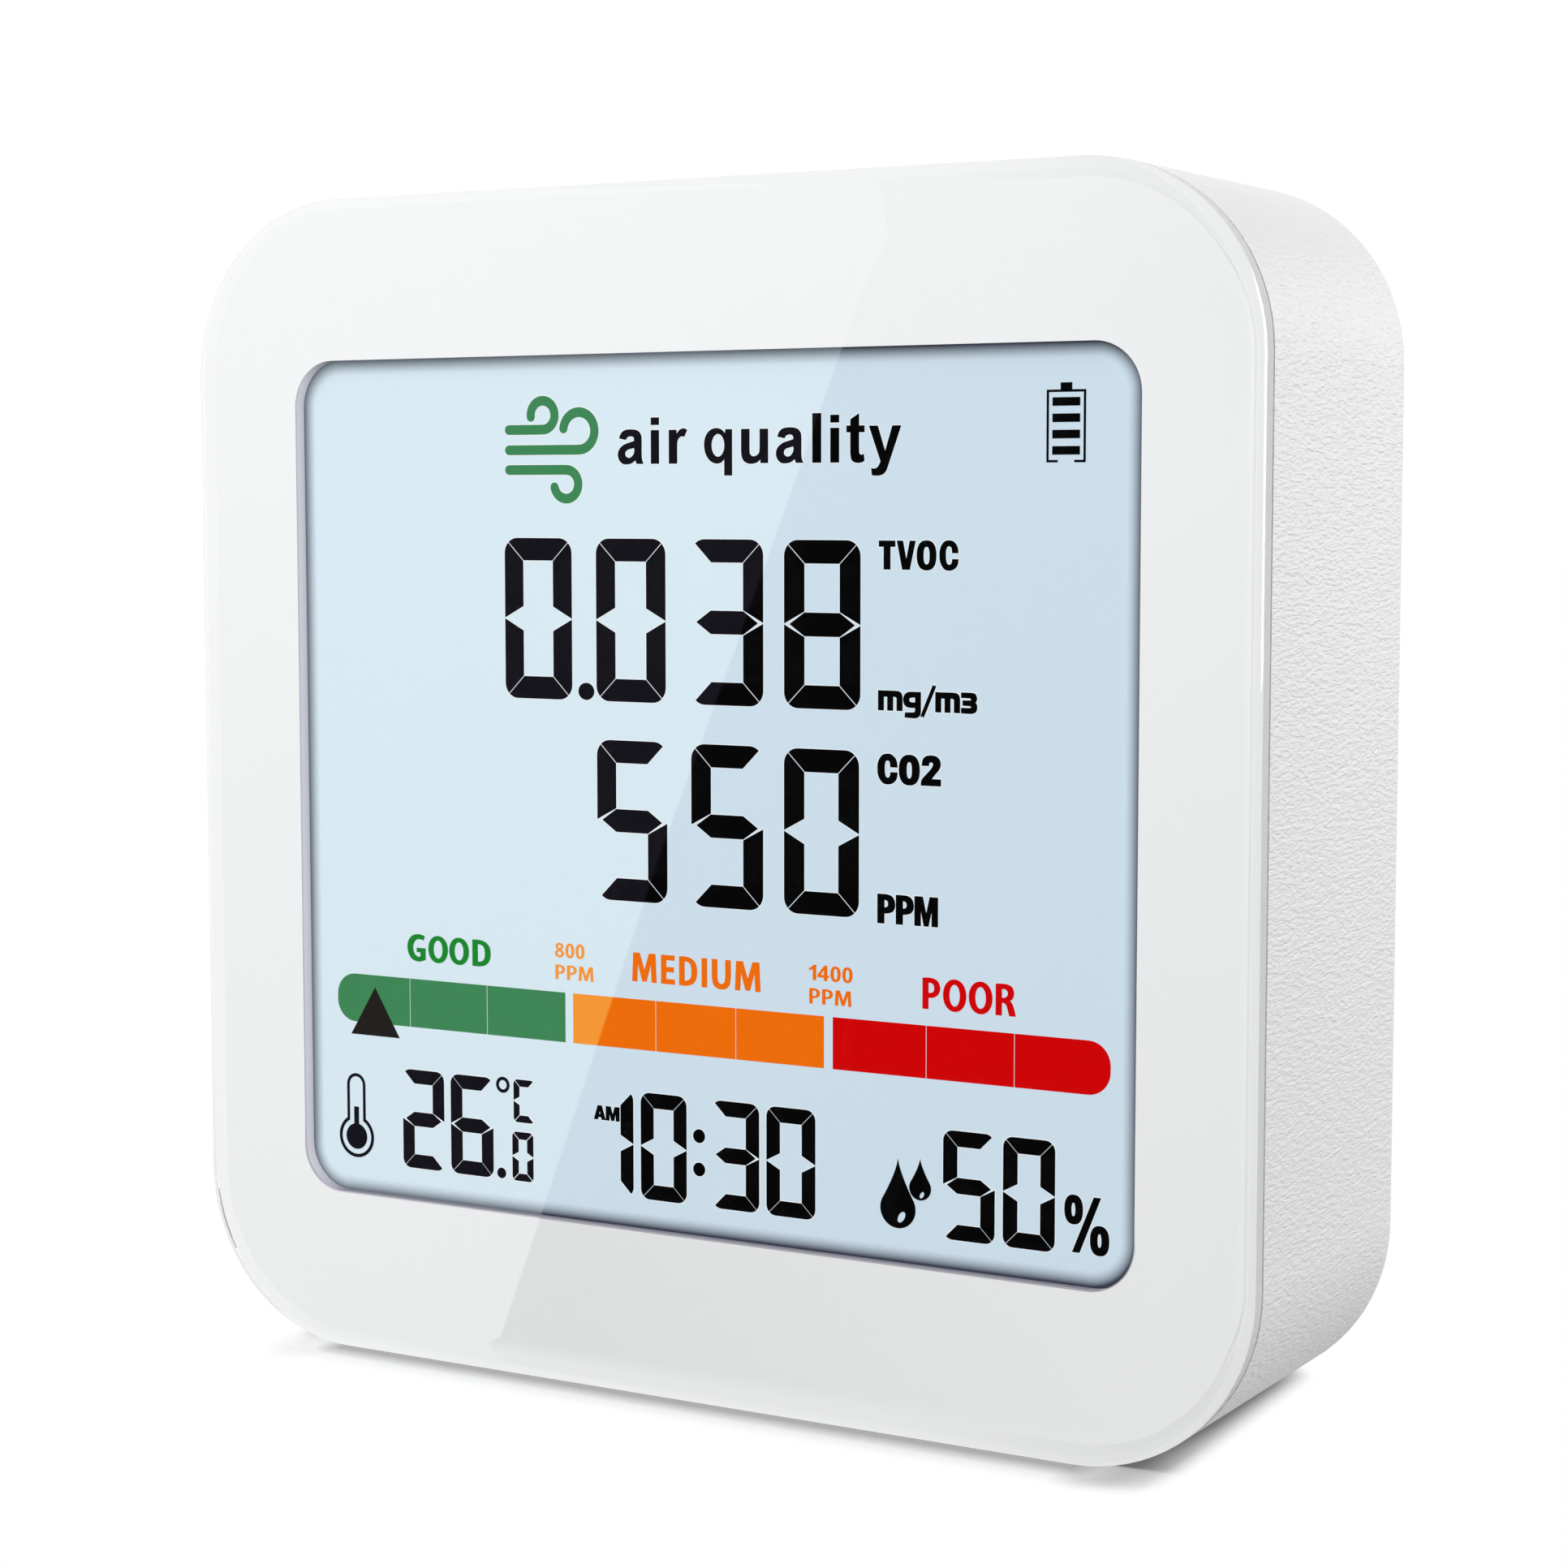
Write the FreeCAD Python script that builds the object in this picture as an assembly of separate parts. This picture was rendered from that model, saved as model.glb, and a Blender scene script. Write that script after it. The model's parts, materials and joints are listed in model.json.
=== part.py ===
import FreeCAD, Part
import math
import os

# Square air quality monitor with a display at the front and a folding stand.
# +X is right seen from the front, +Y is to the rear, +Z is up.
# The origin is at the middle of the flat underside.
# Depths (names with FRONT, BACK or DEPTH) are measured behind the lens face.

os.makedirs("parts", exist_ok=True)
Vector = FreeCAD.Vector

# ---- Outer form -----------------------------------------------------------
WIDTH = 86.0
HEIGHT = 86.0
DEPTH = 28.0
CORNER_R = 12.75
ZC = HEIGHT / 2             # height of the centre line
FRONT_Y = -DEPTH / 2

# Depths that run clear of the pieces being cut
AHEAD = 0.0
BEHIND = 40.0
BELOW = -5.0                # height under the underside

# ---- Front plate and housing ----------------------------------------------
LENS_T = 2.0
MASK_T = 0.1
TAPE_T = 0.2
MASK_BACK = LENS_T + MASK_T
SEAM_DEPTH = MASK_BACK + TAPE_T     # the housing rim starts here
WINDOW_W = 68.7             # display opening
WINDOW_H = 62.4
WINDOW_R = 3.4

WALL = 2.0
REAR_EDGE_R = 2.0
REAR_IN = DEPTH - 2.0       # inner face of the rear wall
INNER_W = WIDTH - 2 * WALL
INNER_R = CORNER_R - WALL

# ---- Display stack, front to rear -----------------------------------------
POLARISER_T = 0.2
GLASS_T = 0.8
LCD_W = 74.0
LCD_H = 68.0
LCD_REAR_H = 63.2           # shorter rear glass leaves contact ledges
LCD_FRONT = SEAM_DEPTH + 0.9
GLASS_FRONT = LCD_FRONT + POLARISER_T
LEDGE_DEPTH = GLASS_FRONT + GLASS_T
REAR_GLASS_BACK = LEDGE_DEPTH + GLASS_T
GUIDE_FRONT = REAR_GLASS_BACK + POLARISER_T
GUIDE_BACK = GUIDE_FRONT + 2.0
SHEET_BACK = GUIDE_BACK + 0.2

# ---- Boards and screws ----------------------------------------------------
BOARD_FRONT = 9.0           # main board
BOARD_BACK = BOARD_FRONT + 1.2
SUB_FRONT = 20.4            # the two small rear boards
SUB_BACK = SUB_FRONT + 1.2

POST_X = 33.5               # corner screw posts, from the centre line
POST_Z = 37.0
POST_R = 2.8
POST_BACK = 20.5
BOSS_X = 20.0               # main board bosses, at the posts' height
SCREW_R = 1.0               # corner screws
HEAD_FRONT = POST_BACK + 1.5

SMALL_SCREW_R = 0.8         # board screws
SMALL_HEAD_R = 1.7
SMALL_HEAD_T = 1.1
SMALL_SLOT_START = 0.6      # slot floor, from the underside of the head
SMALL_BORE_R = 0.82
BOARD_HOLE_R = 1.05

# (x, z) of the rear board bosses
KEY_BOSSES = [(-24.0, 26.0), (-24.0, 38.0)]
POWER_BOSSES = [(24.2, 27.5), (24.2, 47.5)]
SUB_BOSSES = KEY_BOSSES + POWER_BOSSES

# ---- Features of the rear face --------------------------------------------
KEY_X = -29.0
KEYS = (("down", 20.0), ("up", 32.0), ("set", 44.0))     # name, z
KEY_W = 8.0
KEY_H = 5.0
KEY_GAP = 0.15

USB_X = 29.0
USB_Z = 21.0
USB_W = 9.0
USB_H = 3.3
USB_R = 1.6
SWITCH_X = 29.0
SWITCH_Z = 40.0             # middle of the lever travel
SWITCH_TRAVEL = 2.0

STAND_HALF = 17.7
STAND_FRONT = 25.7
STAND_BACK = 27.8
STAND_BOTTOM = 1.2
HINGE_Z = 50.0
HINGE_DEPTH = (STAND_FRONT + STAND_BACK) / 2
PIN_R = 0.8
POCKET_FRONT = 24.0         # front of the wall round the stand recess

VENT_X = 21.0


# ---- Shape helpers --------------------------------------------------------
def y_at(depth):
    return FRONT_Y + depth


def box(x0, x1, front, back, z0, z1):
    return Part.makeBox(x1 - x0, back - front, z1 - z0, Vector(x0, y_at(front), z0))


def block(width, height, front, back, x=0.0, z=ZC):
    """Box centred on x and z."""
    return box(x - width / 2, x + width / 2, front, back, z - height / 2, z + height / 2)


def rod(x, z, radius, front, back):
    """Cylinder along the depth."""
    return Part.makeCylinder(radius, back - front, Vector(x, y_at(front), z), Vector(0, 1, 0))


def cross_rod(radius, half_length, depth, z):
    """Cylinder along X, centred on x = 0."""
    start = Vector(-half_length, y_at(depth), z)
    return Part.makeCylinder(radius, 2 * half_length, start, Vector(1, 0, 0))


def rounded(width, height, radius, front, back, x=0.0, z=ZC):
    """Rounded rectangle in the XZ plane, extruded to the rear."""
    x0, x1 = x - width / 2, x + width / 2
    z0, z1 = z - height / 2, z + height / 2
    y = y_at(front)
    right, up = Vector(1, 0, 0), Vector(0, 0, 1)
    left, down = Vector(-1, 0, 0), Vector(0, 0, -1)
    inset = radius * (1 - math.sqrt(0.5))
    edges = []
    start = Vector(x0 + radius, y, z0)
    for corner_x, corner_z, along, turn in ((x1, z0, right, up), (x1, z1, up, left),
                                            (x0, z1, left, down), (x0, z0, down, right)):
        corner = Vector(corner_x, y, corner_z)
        arc_start = corner - along * radius
        arc_end = corner + turn * radius
        if (arc_start - start).Length > 1e-6:
            edges.append(Part.makeLine(start, arc_start))
        edges.append(Part.Arc(arc_start, corner + (turn - along) * inset, arc_end).toShape())
        start = arc_end
    return Part.Face(Part.Wire(edges)).extrude(Vector(0, back - front, 0))


def edges_at(shape, depth):
    """Edges lying wholly in the plane at this depth."""
    y = y_at(depth)
    return [e for e in shape.Edges
            if abs(e.BoundBox.YMin - y) < 1e-4 and abs(e.BoundBox.YMax - y) < 1e-4]


def cut(shape, *tools):
    return shape.cut(list(tools)) if len(tools) > 1 else shape.cut(tools[0])


def fuse(shape, *others):
    return shape.fuse(list(others)).removeSplitter()


def tidy(shape):
    """Merge split faces and unwrap a compound of one solid."""
    merged = shape.removeSplitter()
    if merged.ShapeType == "Compound" and len(merged.Solids) == 1:
        return merged.Solids[0]
    return merged


def save(name, shape):
    if shape.ShapeType != "Compound" or len(shape.Solids) == 1:
        shape = tidy(shape)
    assert shape.isValid(), name
    shape.exportStep("parts/" + name + ".step")


def save_group(name, solids):
    """Identical separate solids in one file."""
    Part.makeCompound(solids).exportStep("parts/" + name + ".step")


def corners(x, z):
    """Four places mirrored about the middle of the front."""
    return [(side * x, ZC + end * z) for side in (-1, 1) for end in (-1, 1)]


def cross_slot(x, z, length, width, front, back):
    return [block(width, length, front, back, x, z), block(length, width, front, back, x, z)]


def small_screw(x, z, shaft, head, slot):
    """Board screw; shaft, head and slot are (front, back) depths."""
    body = fuse(rod(x, z, SMALL_SCREW_R, *shaft), rod(x, z, SMALL_HEAD_R, *head))
    return tidy(cut(body, *cross_slot(x, z, 2.2, 0.5, *slot)))


# ---- Front plate, print and bonding tape ----------------------------------
LENS_EDGE_R = 0.95
MASK_MARGIN = 0.02          # the print stops just short of the edge
TAPE_W = 80.4
TAPE_R = 10.0
TAPE_MARGIN = 1.6           # the tape keeps back from the window

lens = rounded(WIDTH, HEIGHT, CORNER_R, 0, LENS_T)
save("front_lens", lens.makeFillet(LENS_EDGE_R, edges_at(lens, 0)))

save("lens_mask", cut(
    rounded(WIDTH - 2 * MASK_MARGIN, HEIGHT - 2 * MASK_MARGIN, CORNER_R - MASK_MARGIN,
            LENS_T, MASK_BACK),
    rounded(WINDOW_W, WINDOW_H, WINDOW_R, AHEAD, BEHIND)))

save("lens_adhesive", cut(
    rounded(TAPE_W, TAPE_W, TAPE_R, MASK_BACK, SEAM_DEPTH),
    rounded(WINDOW_W + 2 * TAPE_MARGIN, WINDOW_H + 2 * TAPE_MARGIN, WINDOW_R + 1.4,
            AHEAD, BEHIND)))

# ---- Front frame: holds the display, main board and screw posts -----------
FRAME_GAP = 0.2             # to the housing wall
FRAME_W = INNER_W - 2 * FRAME_GAP
FRAME_R = INNER_R - FRAME_GAP
SKIRT_T = 1.0
SKIRT_BACK = 6.4
POCKET_W = LCD_W + 2 * 0.2  # display pocket, with a gap all round
POCKET_H = LCD_H + 2 * 0.2
POCKET_WALL = 1.1
POCKET_WALL_BACK = 8.6
BOSS_R = 2.0
POST_BORE_FRONT = 12.2
BOSS_BORE_FRONT = 5.2


def front_frame():
    plate = rounded(FRAME_W, FRAME_W, FRAME_R, SEAM_DEPTH, LCD_FRONT)
    skirt = cut(rounded(FRAME_W, FRAME_W, FRAME_R, LCD_FRONT, SKIRT_BACK),
                rounded(FRAME_W - 2 * SKIRT_T, FRAME_W - 2 * SKIRT_T, FRAME_R - SKIRT_T,
                        AHEAD, BEHIND))
    pocket_wall = rounded(POCKET_W + 2 * POCKET_WALL, POCKET_H + 2 * POCKET_WALL, 2.0,
                          LCD_FRONT, POCKET_WALL_BACK)
    posts = [rod(x, z, POST_R, LCD_FRONT, POST_BACK) for x, z in corners(POST_X, POST_Z)]
    bosses = [rod(x, z, BOSS_R, LCD_FRONT, BOARD_FRONT) for x, z in corners(BOSS_X, POST_Z)]
    window = rounded(WINDOW_W + 0.2, WINDOW_H + 0.2, WINDOW_R + 0.1, AHEAD, BEHIND)
    pocket = rounded(POCKET_W, POCKET_H, 0.8, LCD_FRONT, BEHIND)
    post_bores = [rod(x, z, SCREW_R + 0.02, POST_BORE_FRONT, BEHIND)
                  for x, z in corners(POST_X, POST_Z)]
    boss_bores = [rod(x, z, SMALL_BORE_R, BOSS_BORE_FRONT, BEHIND)
                  for x, z in corners(BOSS_X, POST_Z)]
    return cut(fuse(plate, skirt, pocket_wall, *posts, *bosses),
               window, pocket, *post_bores, *boss_bores)


save("front_frame", front_frame())

# ---- Display glass and backlight ------------------------------------------
GUIDE_W = 69.8
GUIDE_H = 62.0
SHEET_INSET = 0.2
GROOVE_W = 0.5              # grooves in the rear face of the light guide
GROOVE_DEEP = 0.15
GROOVE_PITCH = 5.0
TRAY_W = 73.8
TRAY_H = 63.5
TRAY_T = 3.0
LED_BOARD_X = -36.0
LED_BOARD_T = 0.5
LED_T = 0.8

for name, width, height, radius, front, back in (
        ("front_polariser", LCD_W - 2.4, LCD_H - 2.4, 0.6, LCD_FRONT, GLASS_FRONT),
        ("lcd_front_glass", LCD_W, LCD_H, 0.4, GLASS_FRONT, LEDGE_DEPTH),
        ("lcd_rear_glass", LCD_W, LCD_REAR_H, 0.4, LEDGE_DEPTH, REAR_GLASS_BACK),
        ("rear_polariser", LCD_W - 2.4, LCD_REAR_H - 1.6, 0.6, REAR_GLASS_BACK, GUIDE_FRONT)):
    save(name, rounded(width, height, radius, front, back))

save("light_guide", cut(
    block(GUIDE_W, GUIDE_H, GUIDE_FRONT, GUIDE_BACK),
    *[block(GROOVE_W, GUIDE_H - 2, GUIDE_BACK - GROOVE_DEEP, BEHIND, x=GROOVE_PITCH * i)
      for i in range(-6, 7)]))
save("reflector_sheet", block(GUIDE_W - 2 * SHEET_INSET, GUIDE_H - 2 * SHEET_INSET,
                              GUIDE_BACK, SHEET_BACK))


def backlight_tray():
    """Shallow tray, deeper towards -X for the LEDs, with four tall openings."""
    tray = block(TRAY_W, TRAY_H, GUIDE_FRONT, GUIDE_FRONT + TRAY_T)
    tray = cut(tray, box(-36.3, 35.0, AHEAD, SHEET_BACK, ZC - 31.1, ZC + 31.1))
    return cut(tray, *[block(10, 48, AHEAD, BEHIND, x=-24 + 16 * i) for i in range(4)])


save("backlight_tray", backlight_tray())
save("led_board", block(LED_BOARD_T, 52, GUIDE_FRONT + 0.1, GUIDE_FRONT + 1.9, x=LED_BOARD_X))
save_group("backlight_leds", [
    block(LED_T, 3, GUIDE_FRONT + 0.4, GUIDE_FRONT + 1.6,
          LED_BOARD_X + (LED_BOARD_T + LED_T) / 2, ZC + rise)
    for rise in (-18, -6, 6, 18)])

# Contact strips between the glass ledges and the main board
for name, side in (("upper", 1), ("lower", -1)):
    save("contact_strip_" + name,
         block(64, 1.8, LEDGE_DEPTH, BOARD_FRONT, z=ZC + side * 32.8))

# ---- Main board -----------------------------------------------------------
BOARD_HALF = 39.0
NOTCH_W = 9.7               # corner notches, clear of the screw posts
NOTCH_H = 5.8
CHIP_X = -13.0
CHIP_Z = 50.0
CHIP_W = 12.0
LEAD_SPAN = 14.0
LEAD_W = 0.3
BUZZER_Z = 61.0

save("main_board", cut(
    block(2 * BOARD_HALF, 2 * BOARD_HALF, BOARD_FRONT, BOARD_BACK),
    *[block(2 * NOTCH_W, 2 * NOTCH_H, AHEAD, BEHIND, x, z)
      for x, z in corners(BOARD_HALF, BOARD_HALF)],
    *[rod(x, z, BOARD_HOLE_R, AHEAD, BEHIND) for x, z in corners(BOSS_X, POST_Z)]))

save_group("board_screws", [
    small_screw(x, z, shaft=(5.6, BOARD_BACK + 0.01),
                head=(BOARD_BACK, BOARD_BACK + SMALL_HEAD_T),
                slot=(BOARD_BACK + SMALL_SLOT_START, BEHIND))
    for x, z in corners(BOSS_X, POST_Z)])


def microcontroller():
    """Flat package with eleven leads on each side."""
    body = block(CHIP_W, CHIP_W, BOARD_BACK + 0.1, BOARD_BACK + 1.6, CHIP_X, CHIP_Z)
    leads = []
    for i in range(-5, 6):      # lead pitch 1 mm
        depths = (BOARD_BACK, BOARD_BACK + 0.4)
        leads.append(block(LEAD_W, LEAD_SPAN, *depths, CHIP_X + i, CHIP_Z))
        leads.append(block(LEAD_SPAN, LEAD_W, *depths, CHIP_X, CHIP_Z + i))
    return fuse(body, *leads)


save("microcontroller", microcontroller())
save("buzzer", cut(rod(0, BUZZER_Z, 5.9, BOARD_BACK, BOARD_BACK + 6.4),
                   rod(0, BUZZER_Z, 1.0, BOARD_BACK + 4.6, BEHIND)))

# ---- Sensors behind the main board, in front of the vents -----------------
HEADER_BACK = 18.0
SENSOR_FRONT = HEADER_BACK + 1.2    # rear face of the sensor boards
GAS_Z = 69.0
GAS_CAN_BACK = SENSOR_FRONT + 4.4

for name, side in (("gas", 1), ("climate", -1)):
    x = side * VENT_X
    save(name + "_header", block(10.2, 2.6, BOARD_BACK, HEADER_BACK, x, 60.5))
    save(name + "_board", rounded(18, 20, 1.0, HEADER_BACK, SENSOR_FRONT, x, 67))

# Can on a flange, with a round recess in its rear face
gas_can = fuse(rod(VENT_X, GAS_Z, 5.0, SENSOR_FRONT, SENSOR_FRONT + 0.7),
               rod(VENT_X, GAS_Z, 4.4, SENSOR_FRONT, GAS_CAN_BACK))
save("gas_sensor", cut(gas_can, rod(VENT_X, GAS_Z, 3.1, GAS_CAN_BACK - 0.5, BEHIND)))

# Box with four rows of two slots in its rear face
save("climate_sensor", cut(
    rounded(12.4, 15.0, 0.8, SENSOR_FRONT, SENSOR_FRONT + 4.6, -VENT_X, 67.6),
    *[block(4.4, 1.5, SENSOR_FRONT + 3.4, BEHIND, -VENT_X + offset, 63.35 + 2.9 * row)
      for row in range(4) for offset in (-2.5, 2.5)]))

# ---- Rear boards: keys towards -X, power towards +X -----------------------
SUB_X = 29.1
SUB_Z = 32.0

for name, side, holes in (("key_board", -1, KEY_BOSSES), ("power_board", 1, POWER_BOSSES)):
    save(name, cut(rounded(14.8, 38, 1.0, SUB_FRONT, SUB_BACK, side * SUB_X, SUB_Z),
                   *[rod(x, z, BOARD_HOLE_R, AHEAD, BEHIND) for x, z in holes]))

save_group("rear_board_screws", [
    small_screw(x, z, shaft=(SUB_FRONT - 0.01, 25.0),
                head=(SUB_FRONT - SMALL_HEAD_T, SUB_FRONT),
                slot=(AHEAD, SUB_FRONT - SMALL_SLOT_START))
    for x, z in SUB_BOSSES])

# ---- Keys -----------------------------------------------------------------
PLUNGER_R = 1.6
PLUNGER_BACK = 24.8
CAP_FRONT = 25.7
CAP_BACK = 27.85


def key_cap(z):
    """Cap with a retaining flange in front of the rear wall."""
    cap = rounded(KEY_W, KEY_H, KEY_H / 2 - 0.01, CAP_FRONT, CAP_BACK, KEY_X, z)
    cap = cap.makeFillet(0.35, edges_at(cap, CAP_BACK))
    return fuse(cap, rounded(KEY_W + 2.0, KEY_H + 1.6, 2.4, PLUNGER_BACK + 0.02,
                             CAP_FRONT + 0.2, KEY_X, z))


save_group("key_switch_bodies", [
    tidy(cut(rounded(6.0, 6.0, 0.4, SUB_BACK, SUB_BACK + 2.4, KEY_X, z),
             rod(KEY_X, z, PLUNGER_R + 0.06, SUB_BACK + 0.8, BEHIND)))
    for _, z in KEYS])
for name, z in KEYS:
    save("plunger_" + name, rod(KEY_X, z, PLUNGER_R, SUB_BACK + 1.4, PLUNGER_BACK))
    save("key_" + name, key_cap(z))

# ---- Charging socket, power switch and charge controller ------------------
USB_WALL = 0.3
USB_FLOOR = SUB_BACK + 1.2
LEVER_Z = SWITCH_Z + SWITCH_TRAVEL / 2
LEVER_BACK = 27.6

save("usb_socket", cut(
    rounded(USB_W, USB_H, USB_R, SUB_BACK, 27.6, USB_X, USB_Z),
    rounded(USB_W - 2 * USB_WALL, USB_H - 2 * USB_WALL, USB_R - USB_WALL,
            USB_FLOOR, BEHIND, USB_X, USB_Z)))
save("usb_tongue", rounded(6.7, 0.7, 0.3, USB_FLOOR, 26.9, USB_X, USB_Z))
save("power_switch_body", cut(block(3.8, 8.8, SUB_BACK, 25.0, SWITCH_X, SWITCH_Z),
                              block(2.4, 5.6, 23.2, BEHIND, SWITCH_X, SWITCH_Z)))
save("power_switch_lever", cut(
    block(2.2, 2.6, 23.3, LEVER_BACK, SWITCH_X, LEVER_Z),
    *[block(4, 0.3, LEVER_BACK - 0.3, BEHIND, SWITCH_X, LEVER_Z + offset)
      for offset in (-0.7, 0.0, 0.7)]))
save("charge_controller", block(4, 4, SUB_BACK, SUB_BACK + 1.0, 29, 29.6))

# ---- Battery and its leads ------------------------------------------------
CELL_BACK = 23.6
CELL_TOP = 49.5
CELL_H = 44.0
LEAD_R = 0.6
LEAD_BEND_R = 1.6
LEAD_DEPTH = 19.75
# (x, z) along each lead, starting at the top of the cell
LEADS = {
    "positive": [(6, CELL_TOP), (6, 54.6), (28.5, 54.6), (28.5, 46.5)],
    "negative": [(9, CELL_TOP), (9, 52.6), (24.4, 52.6), (24.4, 49.6)],
}


def lead(places):
    """Round lead with right-angled, rounded bends."""
    points = [Vector(x, y_at(LEAD_DEPTH), z) for x, z in places]
    edges = []
    start = points[0]
    for before, bend, after in zip(points, points[1:], points[2:]):
        arc_start = bend + (before - bend).normalize() * LEAD_BEND_R
        arc_end = bend + (after - bend).normalize() * LEAD_BEND_R
        centre = arc_start + (arc_end - bend)
        middle = centre + (bend - centre).normalize() * LEAD_BEND_R
        edges.append(Part.makeLine(start, arc_start))
        edges.append(Part.Arc(arc_start, middle, arc_end).toShape())
        start = arc_end
    edges.append(Part.makeLine(start, points[-1]))
    profile = Part.Wire([Part.makeCircle(LEAD_R, points[0], points[1] - points[0])])
    return Part.Wire(edges).makePipeShell([profile], True, False, 1)


cell = box(-17, 17, 18.4, CELL_BACK, CELL_TOP - CELL_H, CELL_TOP)
upright = [e for e in cell.Edges if abs(e.BoundBox.ZLength - CELL_H) < 1e-3]
save("battery_cell", cell.makeFillet(1.4, upright))
save("battery_pad", box(-14, 14, CELL_BACK, POCKET_FRONT, 10, 44))
for name, places in LEADS.items():
    save("battery_lead_" + name, lead(places))

# ---- Ribbons from the main board to the rear boards -----------------------
RIBBON_T = 0.3
RIBBON_W = 8.0


def ribbon(x, top, bottom):
    """Flat strip, mitred at its bends, from the main board down to a rear board."""
    board_depth = BOARD_BACK + RIBBON_T / 2
    sub_depth = SUB_FRONT - 0.2
    # (z, depth) along the middle of the strip
    path = [(top, board_depth), (top - 5.5, board_depth), (top - 9, 12.4),
            (top - 9, 17.6), (top - 12.5, sub_depth), (bottom, sub_depth)]
    last = len(path) - 1
    one_side, other_side = [], []
    for i, (z, depth) in enumerate(path):
        z_before, depth_before = path[max(i - 1, 0)]
        z_after, depth_after = path[min(i + 1, last)]
        rise, run = z_after - z_before, depth_after - depth_before
        chord = math.hypot(rise, run)
        offset = RIBBON_T / 2
        if 0 < i < last:
            rise_in, run_in = z - z_before, depth - depth_before
            cosine = (rise_in * rise + run_in * run) / (math.hypot(rise_in, run_in) * chord)
            offset /= max(0.6, abs(cosine))
        z_step, depth_step = -run / chord * offset, rise / chord * offset
        one_side.append((z + z_step, depth + depth_step))
        other_side.append((z - z_step, depth - depth_step))
    ring = [Vector(x - RIBBON_W / 2, y_at(depth), z)
            for z, depth in one_side + other_side[::-1]]
    return Part.Face(Part.makePolygon(ring + [ring[0]])).extrude(Vector(RIBBON_W, 0, 0))


save("key_ribbon", ribbon(-30.5, 36.5, 18.5))
save("power_ribbon", ribbon(31.0, 43.5, 21.5))

# ---- Housing: one deep tub, open at the front -----------------------------
WELL_R = 2.7                # corner screw head wells
WELL_WALL = 1.0
ADDED_BACK = REAR_IN + 0.5  # inner features run a little into the rear wall
RECESS_HALF = 18.0          # stand recess
RECESS_FLOOR = 25.5
HANG_Z = 66.0               # hanging slot
HANG_R = 4.0
HANG_SLOT_R = 2.1
HANG_TOP = HANG_Z + 6.5
VENT_ROWS = (59.0, 62.0, 65.0, 68.0, 71.0, 74.0)
VENT_W = 15.0
VENT_H = 1.5
USB_GAP = 0.4


def housing_additions():
    wells = [rod(x, z, WELL_R + WELL_WALL, POST_BACK, ADDED_BACK)
             for x, z in corners(POST_X, POST_Z)]
    recess_wall = box(-20.6, 20.6, POCKET_FRONT, ADDED_BACK, 1.0, HINGE_Z + 2.6)
    hang_box = box(-5.6, 5.6, 22.4, ADDED_BACK, HANG_Z - 5.4, HANG_TOP + 3.4)
    bosses = [rod(x, z, 1.8, SUB_BACK, ADDED_BACK) for x, z in SUB_BOSSES]
    battery_ribs = [box(x - 0.6, x + 0.6, 20.5, POCKET_FRONT + 0.5, bottom, bottom + 9)
                    for x in (-18.4, 18.4) for bottom in (8.0, 38.0)]
    return wells + [recess_wall, hang_box] + bosses + battery_ribs


def housing_openings():
    tools = []
    for x, z in corners(POST_X, POST_Z):
        tools.append(rod(x, z, WELL_R, HEAD_FRONT, BEHIND))
        tools.append(rod(x, z, SCREW_R + 0.25, POST_BACK - 1, BEHIND))
    # stand recess, open at the underside, with two hinge sockets
    tools.append(box(-RECESS_HALF, RECESS_HALF, RECESS_FLOOR, BEHIND, BELOW, HINGE_Z + 1.3))
    tools.append(cross_rod(PIN_R + 0.06, STAND_HALF + 1.8, HINGE_DEPTH, HINGE_Z))
    # hanging slot: round entry, narrow neck above it, hollow in front of both
    slot_front = REAR_IN - 0.5
    tools.append(rod(0, HANG_Z, HANG_R, slot_front, BEHIND))
    tools.append(box(-HANG_SLOT_R, HANG_SLOT_R, slot_front, BEHIND, HANG_Z, HANG_TOP))
    tools.append(rod(0, HANG_TOP, HANG_SLOT_R, slot_front, BEHIND))
    tools.append(box(-4.4, 4.4, 23.6, REAR_IN, HANG_Z - 4.2, HANG_TOP + 2.2))
    # (width, height, radius, x, z) of the rounded openings in the rear wall
    openings = [(VENT_W, VENT_H, VENT_H / 2 - 0.01, x, z)
                for x in (-VENT_X, VENT_X) for z in VENT_ROWS]
    openings += [(KEY_W + 2 * KEY_GAP, KEY_H + 2 * KEY_GAP, KEY_H / 2 + KEY_GAP - 0.01,
                  KEY_X, z) for _, z in KEYS]
    openings.append((USB_W + 2 * USB_GAP, USB_H + 2 * USB_GAP, USB_R + USB_GAP, USB_X, USB_Z))
    openings.append((2.8, 5.2, 0.4, SWITCH_X, SWITCH_Z))
    for width, height, radius, x, z in openings:
        tools.append(rounded(width, height, radius, REAR_IN - 1, BEHIND, x, z))
    tools += [rod(x, z, SMALL_BORE_R, SUB_BACK - 1, 25.4) for x, z in SUB_BOSSES]
    return tools


def housing():
    outer = rounded(WIDTH, HEIGHT, CORNER_R, SEAM_DEPTH, DEPTH)
    outer = outer.makeFillet(REAR_EDGE_R, edges_at(outer, DEPTH))
    tub = cut(outer, rounded(INNER_W, INNER_W, INNER_R, AHEAD, REAR_IN))
    # keep the additions inside the outer form
    tub = fuse(tub, *housing_additions()).common(outer)
    return cut(tub, *housing_openings())


save("housing", housing())
save_group("dust_screens", [rounded(17.4, 19.4, 1.0, REAR_IN - 0.2, REAR_IN, x, 66.6)
                            for x in (-VENT_X, VENT_X)])

# ---- Corner screws, from the rear into the frame posts --------------------
HEAD_R = 2.1
HEAD_BACK = HEAD_FRONT + 1.5


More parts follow.
